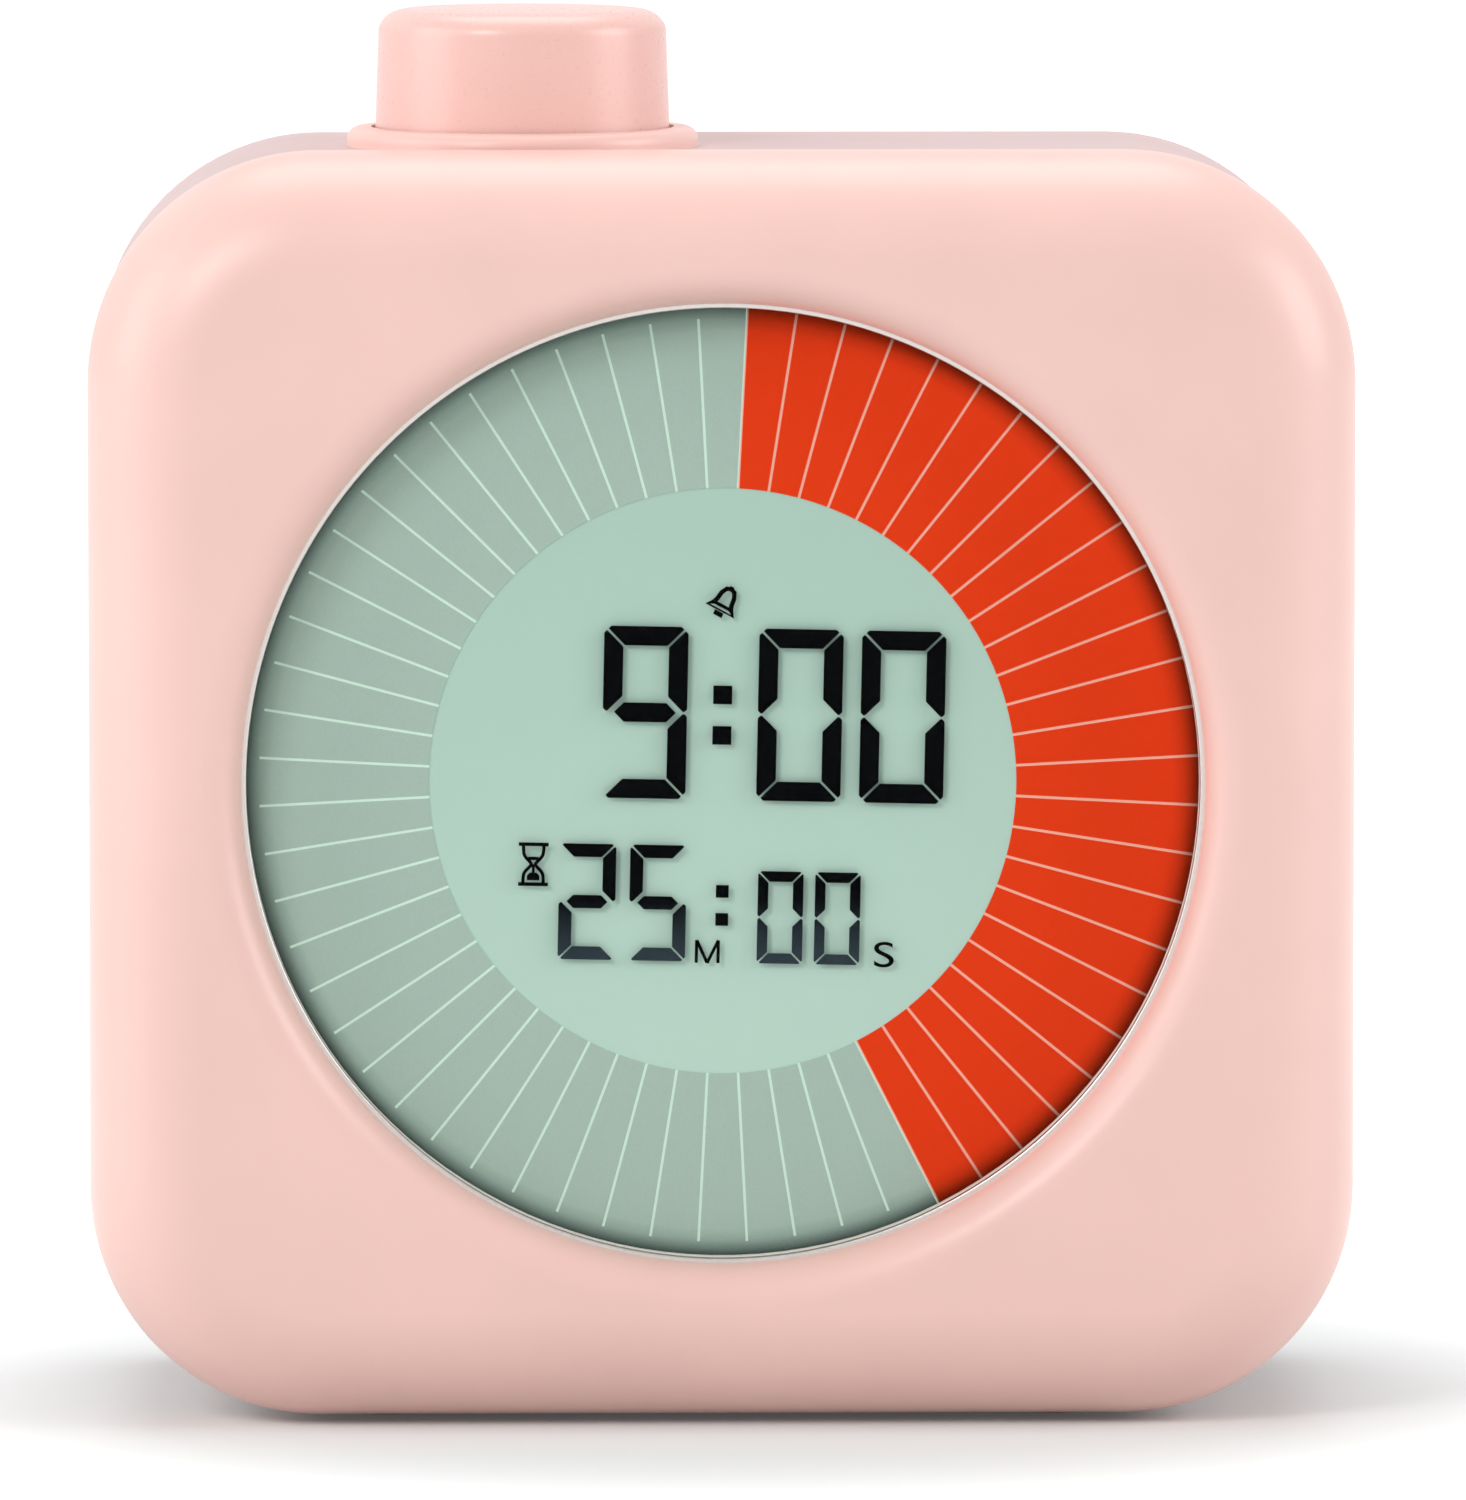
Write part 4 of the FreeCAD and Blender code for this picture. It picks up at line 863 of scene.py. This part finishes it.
@dataclass
class WindowTrim:
    """Bright ring that shows between the lip and the lens."""

    outer: float = 36.1
    inner: float = 33.78
    front: float = -22.0
    back: float = -21.4
    nose: float = 0.15
    nose_steps: int = 6
    sides: int = 192
    crease: float = 40.0

    def build(self) -> None:
        """Model the ring with its rounded inner edge."""
        nose = rolled_edge(self.inner, self.front, self.nose, self.nose_steps)
        ring = lathe("window_trim", [(self.outer, self.back), (self.outer, self.front), *nose,
                                     (self.inner, self.back)], self.sides)
        shade(ring, self.crease)
        finish(ring, "root", "trim", "trim", "lens_trim")


class Bar(Enum):
    """The seven bars of a figure, by their usual letters."""

    TOP = "a"
    UPPER_RIGHT = "b"
    LOWER_RIGHT = "c"
    BOTTOM = "d"
    LOWER_LEFT = "e"
    UPPER_LEFT = "f"
    MIDDLE = "g"


FIGURES: dict[str, str] = {"0": "abcdef", "2": "abged", "5": "afgcd", "9": "abcdfg"}


@dataclass(frozen=True)
class FigureRow:
    """A run of like figures: the figures, their left sides, their top and their sizes."""

    figures: str
    lefts: tuple[float, ...]
    top: float
    height: float
    width: float
    bar: float
    gap: float = 0.16
    blunt: float = 0.5
    notch: float = 0.5
    waist_blunt: float = 0.14


@dataclass(frozen=True)
class Colon:
    """A column of like dots: their sides, half their height and the heights of their middles."""

    left: float
    right: float
    half: float
    rises: tuple[float, ...]


@dataclass(frozen=True)
class SandHeap:
    """Sand in the hourglass: half its width, its foot and top, and where its corners go."""

    half: float
    low: float
    high: float
    corner: Spot = (0.0, 0.0)
    up: int = 0


@dataclass
class DisplayFace:
    """Everything printed or switched on in the display.

    Spots on it are (x, z) from the window's middle, in millimetres.
    """

    panel_front: float = -19.3
    panel_back: float = -18.0
    panel_half: float = 35.0
    clip: float = 10.0
    ledge: float = 2.5
    ledge_thick: float = 0.4
    ring_inner: float = 20.85
    ring_outer: float = 34.4
    # The green sheet over the outer ends of the green lines is painted shade: it stands for the
    # window's shadow that hides them there.
    rim_inner: float = 32.9
    rim_gap: float = 0.4
    count: int = 60
    red_count: int = 25
    first_boundary: float = 3.0
    facet: float = 1.5
    gap: float = 0.2
    ink: float = 0.03
    figure_front: float = -19.78
    figure_thick: float = 0.04
    tilt: float = 1.2
    drop: float = 0.22
    clock: FigureRow = FigureRow("900", (-8.62, 2.38, 9.67), 11.17, 12.25, 5.98, 1.37)
    minutes: FigureRow = FigureRow("25", (-11.48, -6.46), -4.38, 8.26, 4.03, 0.94, 0.13, 0.3)
    seconds: FigureRow = FigureRow("00", (2.65, 6.71), -6.1, 6.58, 3.23, 0.74, 0.12, 0.25)
    clock_colon: Colon = Colon(-0.81, 0.53, 0.66, (6.39, 3.51))
    countdown_colon: Colon = Colon(-0.33, 0.58, 0.45, (-7.6, -9.6))
    letter_m: tuple[Spot, ...] = ((-1.62, -12.72), (-1.62, -11.1), (-0.85, -12.72),
                                  (-0.08, -11.1), (-0.08, -12.72))
    letter_line: float = 0.23
    letter_s: Spot = (11.68, -12.78)
    letter_tall: float = 1.9
    letter_widen: float = 1.4
    capital_share: float = 0.73
    bell_middle: Spot = (-0.12, 13.06)
    bell_lean: float = -27.0
    bell_half: tuple[Spot, ...] = ((0.0, 0.95), (0.3, 0.85), (0.5, 0.45), (0.56, -0.05),
                                   (0.68, -0.4), (1.0, -0.72))
    bell_line: float = 0.34
    bell_rim: tuple[Spot, ...] = ((-0.62, -0.38), (0.62, -0.38))
    rim_line: float = 0.24
    clapper: tuple[Spot, ...] = ((-0.34, -1.0), (0.34, -1.0))
    clapper_line: float = 0.36
    bell_top: tuple[Spot, ...] = ((0.0, 0.95), (0.0, 1.15))
    glass_middle: Spot = (-13.32, -5.92)
    glass_upper: tuple[Spot, ...] = ((0.72, 1.34), (0.72, 0.9648), (0.648, 0.5628), (0.16, 0.1))
    glass_line: float = 0.24
    cap_half: Spot = (1.06, 0.13)
    cap_rise: float = 1.42
    sand: tuple[SandHeap, ...] = (SandHeap(0.44, -1.14, -0.6, (0.24, -0.6), 1),
                                  SandHeap(0.1, -0.7, 0.0),
                                  SandHeap(0.36, 0.3, 0.54, (0.36, 0.44), -1))

    def plate(self, name: str, low: Spot, high: Spot,
              cuts: Sequence[tuple[float, float, float, float]] = ()) -> Object:
        """Make a thin upright plate with some corners cut off.

        Args:
            name: The plate's name.
            low, high: Two opposite corners.
            cuts: Lines as (x, z, out_x, out_z): what lies past the line is removed.

        Returns:
            The plate.
        """
        y = self.figure_front
        piece = box(name, (low[0], y, WINDOW_RISE + low[1]),
                    (high[0], y + self.figure_thick, WINDOW_RISE + high[1]))
        with editing(piece):
            for x, z, out_x, out_z in cuts:
                slice_off((mm(x), 0.0, mm(WINDOW_RISE + z)), (out_x, 0.0, out_z))
        return piece

    def figure(self, digit: str, left: float, row: FigureRow) -> Object:
        """Make one figure from bars with mitred ends.

        Args:
            digit: Which figure.
            left: Place of its left side.
            row: The row that it stands in.

        Returns:
            The figure.
        """
        top = row.top
        right, low = left + row.width, top - row.height
        waist, half = (top + low) / 2, row.bar / 2
        slip = row.gap / math.sqrt(2)
        plates = []
        for bar in Bar:
            if bar.value not in FIGURES[digit]:
                continue
            if bar is Bar.MIDDLE:
                ends = ((left + half, waist - half), (right - half, waist + half))
                cuts = [(side - out * slip, waist, out, up)
                        for side, out in ((left + half, -1), (right - half, 1))
                        for up in (-1, 1)]
            elif bar in (Bar.TOP, Bar.BOTTOM):
                edge, up = (top, 1) if bar is Bar.TOP else (low, -1)
                inner = edge - up * row.bar
                ends = ((left, min(edge, inner)), (right, max(edge, inner)))
                cuts = [(left + slip, edge, -1, -up), (right - slip, edge, 1, -up),
                        (left + row.blunt, edge, -1, up), (right - row.blunt, edge, 1, up)]
            else:
                upper = bar in (Bar.UPPER_LEFT, Bar.UPPER_RIGHT)
                out = 1 if bar in (Bar.UPPER_RIGHT, Bar.LOWER_RIGHT) else -1
                side = right if out > 0 else left
                up, edge = (1, top) if upper else (-1, low)
                start = waist + up * row.gap / 2
                inner = side - out * row.bar
                ends = ((min(side, inner), min(start, edge)), (max(side, inner), max(start, edge)))
                cuts = [(side, edge - up * slip, -out, up),
                        (side - out * row.blunt, edge, out, up),
                        (side - out * half * row.notch, waist + up * slip, -out, -up),
                        (side - out * row.bar * row.waist_blunt, start, out, -up)]
            plates.append(self.plate("bar", *ends, cuts))
        return merge("figure", plates)

    def figures(self, row: FigureRow) -> list[Object]:
        """Make a row's figures; one that comes again is a copy of the first.

        Args:
            row: The row.

        Returns:
            One piece per figure.
        """
        made: list[Object] = []
        for digit, left in zip(row.figures, row.lefts):
            first = row.figures.index(digit)
            if first < len(made):
                across = mm(left - row.lefts[first])
                made.append(copied(made[first], Matrix.Translation((across, 0.0, 0.0))))
            else:
                made.append(self.figure(digit, left, row))
        return made

    def dots(self, colon: Colon) -> list[Object]:
        """Make a colon's dots.

        Args:
            colon: Their places.

        Returns:
            One plate per dot.
        """
        first = colon.rises[0]
        dot = self.plate("dot", (colon.left, first - colon.half),
                         (colon.right, first + colon.half))
        return [dot] + [copied(dot, Matrix.Translation((0.0, 0.0, mm(rise - first))))
                        for rise in colon.rises[1:]]

    def stroke(self, name: str, points: Sequence[Spot], width: float,
               closed: bool = False, smooth: bool = False) -> Object:
        """Draw a thin line through points, as a flat ribbon on the display.

        Args:
            name: The line's name.
            points: Spots that it passes.
            width: Width of the line.
            closed: Whether the line ends where it starts.
            smooth: Whether the line rounds its points.

        Returns:
            The ribbon as a mesh.
        """
        curve = bpy.data.curves.new(name, "CURVE")
        curve.dimensions = "3D"
        curve.bevel_depth = mm(width / 2)
        curve.bevel_resolution = 2
        curve.fill_mode = "FULL"
        curve.use_fill_caps = True
        line = curve.splines.new("NURBS" if smooth else "POLY")
        line.points.add(len(points) - 1)
        for spot, (x, z) in zip(line.points, points):
            spot.co = (mm(x), 0.0, mm(z), 1.0)
        line.use_cyclic_u = closed
        if smooth:
            line.order_u = 3
            line.use_endpoint_u = not closed
        piece = bpy.data.objects.new(name, curve)
        bpy.context.scene.collection.objects.link(piece)
        take(piece)
        bpy.ops.object.convert(target="MESH")
        piece.scale = (1.0, self.figure_thick / width, 1.0)
        piece.location = (0.0, mm(self.figure_front + self.figure_thick / 2), mm(WINDOW_RISE))
        settle(piece)
        return piece

    def letter(self, text: str, foot: Spot) -> Object:
        """Write one capital letter as a thin plate.

        Args:
            text: The letter.
            foot: The middle of its foot.

        Returns:
            The letter as a mesh.
        """
        deselect()
        bpy.ops.object.text_add()
        data = named("mark_" + text).data
        data.body = text
        data.align_x = "CENTER"
        data.size = mm(self.letter_tall / self.capital_share)
        data.extrude = mm(self.figure_thick / 2)
        bpy.ops.object.convert(target="MESH")
        piece = bpy.context.active_object
        piece.rotation_euler = (math.pi / 2, 0.0, 0.0)
        piece.scale = (self.letter_widen, 1.0, 1.0)
        piece.location = (mm(foot[0]), mm(self.figure_front + self.figure_thick / 2),
                          mm(WINDOW_RISE + foot[1]))
        settle(piece)
        return piece

    def gather(self, name: str, pieces: Sequence[Object], material: str) -> None:
        """Join printed pieces into one, tilt it as the display sits, and finish it.

        Args:
            name: The joined piece's name.
            pieces: What it is joined from.
            material: Short name of its finish.
        """
        piece = merge(name, pieces)
        sunk = Matrix.Translation((0.0, 0.0, -mm(self.drop)))
        piece.data.transform(sunk @ about_window(self.tilt))
        finish(piece, "root", "film", material)

    def sector(self, name: str, start: float, end: float, radii: Spot, front: float,
               trim: float = 0.0) -> Object:
        """Make a thin ring sector, clockwise from twelve o'clock as seen from the front.

        Args:
            name: The sector's name.
            start, end: Angles of its two sides, in degrees.
            radii: Its inner and outer radius.
            front: Place of its front face.
            trim: How much is cut from each straight side, parallel to that side.

        Returns:
            The sector.
        """
        middle = Vector((0.0, mm(front), mm(WINDOW_RISE)))
        arm = Vector((math.sin(math.radians(start)), 0.0, math.cos(math.radians(start))))
        piece = wire(name, [middle + arm * mm(radius) for radius in radii])
        steps = int(round((end - start) / self.facet))
        with editing(piece):
            bpy.ops.mesh.spin(steps=steps, angle=math.radians(start - end), center=middle,
                              axis=(0.0, 1.0, 0.0))
            for side, out in ((start, -1), (end, 1)) if trim else ():
                turn = math.radians(side)
                across = Vector((math.cos(turn), 0.0, -math.sin(turn))) * out
                slice_off(middle - across * mm(trim), across, fill=False)
            bpy.ops.mesh.select_all(action="SELECT")
            bpy.ops.mesh.extrude_region_move(
                TRANSFORM_OT_translate={"value": (0.0, mm(self.ink), 0.0)})
            bpy.ops.mesh.select_all(action="SELECT")
            bpy.ops.mesh.normals_make_consistent(inside=False)
        return piece

    def panel(self) -> None:
        """Make the pale green display panel with its clipped corners and contact ledge."""
        half, clip = self.panel_half, self.clip
        foot = WINDOW_RISE - half
        panel = box("display_panel", (-half, self.panel_front, foot),
                    (half, self.panel_back, WINDOW_RISE + half))
        with editing(panel):
            for out_x, out_z in ((-1, -1), (-1, 1), (1, -1), (1, 1)):
                slice_off((mm(out_x * (half - clip)), 0.0, mm(WINDOW_RISE + out_z * half)),
                          (out_x, 0.0, out_z))
        ledge = box("contact_ledge", (clip - half, self.panel_front, foot - self.ledge),
                    (half - clip, self.panel_front + self.ledge_thick, foot))
        finish(merge("display_panel", [panel, ledge]), "root", "lcd_glass", "panel", "lcd_panel")

    def segments(self) -> None:
        """Make the ring of sixty segments, its pale dividing lines, and a green sheet over the
        outer ends of the green lines as painted shade of the window's edge.
        """
        step = 360.0 / self.count
        first = self.first_boundary
        split = first + self.red_count * step
        radii = (self.ring_inner, self.ring_outer)
        base = self.panel_front - self.ink
        for name, start, end, material in (("red_lines", first, split, "red_line"),
                                           ("green_lines", split, first + 360.0, "green_line")):
            finish(self.sector(name, start, end, radii, base), "root", "film", material)
        top = base - self.ink
        wedges = [self.sector("wedge", first, first + step, radii, top, self.gap / 2)]
        wedges += [copied(wedges[0], about_window(number * step))
                   for number in range(1, self.count)]
        # Painted shade: a green sheet over the outer ends of the green lines, where the window's
        # shadow hides them.
        rim = self.sector("rim", split + self.rim_gap, first + 360.0 - self.rim_gap,
                          (self.rim_inner, self.ring_outer), top - self.ink / 3)
        reds, greens = wedges[:self.red_count], wedges[self.red_count:] + [rim]
        for name, parts, material in (("red_segments", reds, "red"),
                                      ("green_segments", greens, "green")):
            finish(merge(name, parts), "root", "film", material)

    def rows(self) -> None:
        """Make the clock row, the minutes, the seconds and their unit marks."""
        clock = [*self.figures(self.clock), *self.dots(self.clock_colon),
                 *self.dots(self.countdown_colon)]
        self.gather("clock_figures", clock, "figure")
        self.gather("countdown_figures",
                    self.figures(self.minutes) + self.figures(self.seconds), "figure_soft")
        marks = [self.stroke("mark_M", ends, self.letter_line)
                 for ends in zip(self.letter_m, self.letter_m[1:])]
        self.gather("unit_marks", [*marks, self.letter("S", self.letter_s)], "figure")

    def bell(self) -> None:
        """Make the small leaning bell, from its outline, rim, clapper and top."""
        lean = math.radians(self.bell_lean)
        cos, sin = math.cos(lean), math.sin(lean)

        def lay(*spots: Spot) -> list[Spot]:
            """Return spots of the upright bell as they lie on the display."""
            return [(x * cos - z * sin + self.bell_middle[0],
                     x * sin + z * cos + self.bell_middle[1]) for x, z in spots]

        outline = lay(*self.bell_half, *((-x, z) for x, z in reversed(self.bell_half[1:])))
        parts = [self.stroke("bell", outline, self.bell_line, closed=True)]
        for ends, width in ((self.bell_rim, self.rim_line), (self.clapper, self.clapper_line),
                            (self.bell_top, self.bell_line)):
            parts.append(self.stroke("bell_stroke", lay(*ends), width))
        self.gather("bell_sign", parts, "figure")

    def hourglass(self) -> None:
        """Make the hourglass, from its glass, two caps and the sand."""
        x, z = self.glass_middle
        wide, thick = self.cap_half
        parts = []
        for side in (-1, 1):
            glass = [(x + side * out, z + turn * up) for turn in (1, -1)
                     for out, up in self.glass_upper[::turn]]
            parts.append(self.stroke("glass", glass, self.glass_line, smooth=True))
            middle = z + side * self.cap_rise
            parts.append(self.plate("cap", (x - wide, middle - thick),
                                    (x + wide, middle + thick)))
        for heap in self.sand:
            across, rise = heap.corner
            cuts = [(x + side * across, z + rise, side, heap.up) for side in (-1, 1)]
            parts.append(self.plate("sand", (x - heap.half, z + heap.low),
                                    (x + heap.half, z + heap.high), cuts if heap.up else ()))
        self.gather("hourglass_sign", parts, "figure")

    def build(self) -> None:
        """Model the whole display."""
        for part in (self.panel, self.segments, self.rows, self.bell, self.hourglass):
            part()


@dataclass
class TurningKnob:
    """The pink knob, with its roof a little flatter than the solid it is drawn from."""

    roof_low: float = 98.55
    roof_high: float = 100.45
    roof_flat: float = 99.95
    crease: float = 35.0

    def build(self) -> None:
        """Model the knob from a merged copy of its solid."""
        take(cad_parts["knob"])
        bpy.ops.object.duplicate()
        knob = named("turning_knob")
        bpy.ops.mesh.customdata_custom_splitnormals_clear()
        with editing(knob):
            bpy.ops.mesh.remove_doubles(threshold=WELD)
        low, high = mm(self.roof_low), mm(self.roof_high)
        share = (mm(self.roof_flat) - low) / (high - low)
        for corner in knob.data.vertices:
            if corner.co.z > low:
                corner.co.z = low + (corner.co.z - low) * share
        shade(knob, self.crease)
        finish(knob, "knob", "knob", "knob", "knob")


class BareNodes:
    """The pieces whose shape is right as it is, each given its finish."""

    FINISHES: ClassVar[dict[str, str]] = {
        "rear_shell": "back", "battery_door": "back", "knob_collar": "face",
        "lens": "pane", "colour_film": "film", "light_guide": "guide",
        "backlight_lamps": "lamp", "lcd_holder": "white", "contact_strips": "elastomer",
        "main_board": "board", "controller_chip": "black", "board_screws": "steel",
        "encoder_bushing": "die_cast", "encoder_body": "black", "encoder_plunger": "white",
        "encoder_shaft": "shaft", "encoder_washer": "steel", "encoder_nut": "brass",
        "encoder_board": "board", "speaker_gasket": "foam", "speaker_frame": "contact",
        "speaker_cone": "cone", "battery_cells": "cell", "battery_plates": "contact",
        "battery_springs": "contact", "mode_button": "button", "set_button": "button",
        "mode_switch_stem": "black", "set_switch_stem": "black", "button_switches": "black",
        "volume_slider": "button", "volume_switch": "contact", "rear_board": "board",
        "rear_board_screws": "steel", "housing_screws": "steel", "feet": "foot",
    }

    def dress(self) -> None:
        """Give each node its material."""
        for name, key in self.FINISHES.items():
            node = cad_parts[name]
            node.data.materials.clear()
            node.data.materials.append(Finishes.get(key))
            log.info("%s finished in %s", name, key)


@dataclass(frozen=True)
class SoftLamp:
    """A square soft lamp: its place and its side in metres, and its power in watts."""

    name: str
    place: Point
    side: float
    power: float

    def hang(self, aim: Point) -> None:
        """Add the lamp, turned to what it lights.

        Args:
            aim: A point in metres.
        """
        bpy.ops.object.light_add(type="AREA", location=self.place)
        lamp = bpy.context.active_object
        lamp.name = self.name
        lamp.data.size, lamp.data.energy = self.side, self.power
        lamp.rotation_mode = "QUATERNION"
        lamp.rotation_quaternion = (Vector(aim) - Vector(self.place)).to_track_quat("-Z", "Y")


@dataclass
class Studio:
    """Pale floor and backdrop, soft lamps, and the camera where the photograph's stood.

    The camera's target and distance are in millimetres, its focal length and its picture in
    pixels of the photograph; the rest is in metres.
    """

    focal_px: float = 17210.0
    long_side: float = 1500.0
    short_side: float = 1466.0
    centre_px: Spot = (727.1, 776.1)
    sensor: float = 36.0
    target: Point = (0.72, 0.0, 44.52)
    distance: float = 1240.6
    azimuth: float = -1.20
    elevation: float = 5.13
    clip: Spot = (0.05, 20.0)
    room: float = 0.355
    floor_radius: float = 4.0
    floor_colour: Colour = (0.76, 0.79, 0.79)
    white_reach: Spot = (0.035, 0.105)
    white_strength: Spot = (0.06, 0.8)
    aim: Point = (0.0, 0.0, 0.05)
    lamps: tuple[SoftLamp, ...] = (SoftLamp("left_softbox", (-1.1, -0.25, 0.45), 0.8, 5.4),
                                   SoftLamp("right_softbox", (1.1, -0.25, 0.45), 0.7, 7.1),
                                   SoftLamp("front_softbox", (-0.65, -0.95, 0.7), 0.45, 5.8),
                                   SoftLamp("top_softbox", (0.0, 0.3, 0.95), 0.7, 3.8))

    @staticmethod
    def seen(sketch: NodeSketch) -> NodeSocket:
        """Tell rays that look, straight, mirrored or through glass, from rays of light.

        Args:
            sketch: The floor's or the world's nodes.

        Returns:
            1 for rays that look, and 0 for light.
        """
        rays = sketch.add("ShaderNodeLightPath").outputs
        looks = sketch.math("MAXIMUM", rays["Is Camera Ray"], rays["Is Glossy Ray"])
        return sketch.math("MAXIMUM", looks, rays["Is Transmission Ray"])

    def backdrop(self) -> None:
        """Make the floor, which shows white further off but keeps the shadow."""
        deselect()
        bpy.ops.mesh.primitive_circle_add(vertices=96, radius=self.floor_radius,
                                          fill_type="NGON")
        floor = named("studio_floor")
        sketch = NodeSketch.material("pale_floor")
        cloth = sketch.add("ShaderNodeBsdfDiffuse", {"Color": (*self.floor_colour, 1.0)})
        reach = sketch.vector("LENGTH", sketch.place()).outputs["Value"]
        white = sketch.spread(reach, *self.white_strength, *self.white_reach, "SMOOTHSTEP")
        glow = sketch.add("ShaderNodeEmission", {
            "Color": WHITE, "Strength": sketch.math("MULTIPLY", white, self.seen(sketch))})
        both = sketch.add("ShaderNodeAddShader", {0: cloth.outputs["BSDF"],
                                                  1: glow.outputs["Emission"]})
        sketch.join(both.outputs["Shader"], sketch.output.inputs["Surface"])
        floor.data.materials.append(sketch.owner)

    def world(self) -> None:
        """Fill the surroundings with soft white light, shown as pure white."""
        sketch = NodeSketch(bpy.data.worlds.new("soft_room"))
        light, shown = [sketch.add("ShaderNodeBackground", {"Color": WHITE, "Strength": strength})
                        for strength in (self.room, 1.0)]
        bpy.context.scene.world = sketch.blend(self.seen(sketch), light, shown)

    def camera(self) -> None:
        """Stand the camera where the photograph was taken from."""
        side, rise = math.radians(self.azimuth), math.radians(self.elevation)
        back = Vector((math.sin(side) * math.cos(rise), -math.cos(side) * math.cos(rise),
                       math.sin(rise)))
        data = bpy.data.cameras.new("camera")
        camera = bpy.data.objects.new("camera", data)
        bpy.context.scene.collection.objects.link(camera)
        data.sensor_width = self.sensor
        data.lens = self.focal_px / self.long_side * self.sensor
        data.shift_x = (self.short_side / 2 - self.centre_px[0]) / self.long_side
        data.shift_y = (self.centre_px[1] - self.long_side / 2) / self.long_side
        data.clip_start, data.clip_end = self.clip
        camera.location = (Vector(self.target) + back * self.distance) * mm(1.0)
        camera.rotation_mode = "QUATERNION"
        camera.rotation_quaternion = (-back).to_track_quat("-Z", "Y")
        bpy.context.scene.camera = camera

    def build(self) -> None:
        """Set up the floor, the light and the camera."""
        bpy.context.scene.view_settings.view_transform = "Standard"
        self.backdrop()
        self.world()
        for lamp in self.lamps:
            lamp.hang(self.aim)
        self.camera()


def main() -> None:
    """Build every sub-assembly in order."""
    logging.basicConfig(level=logging.INFO, format="%(message)s")
    Studio().build()
    BareNodes().dress()
    for part in (FrontCover(), WindowTrim(), TurningKnob(), DisplayFace()):
        part.build()


if __name__ == "__main__":
    main()
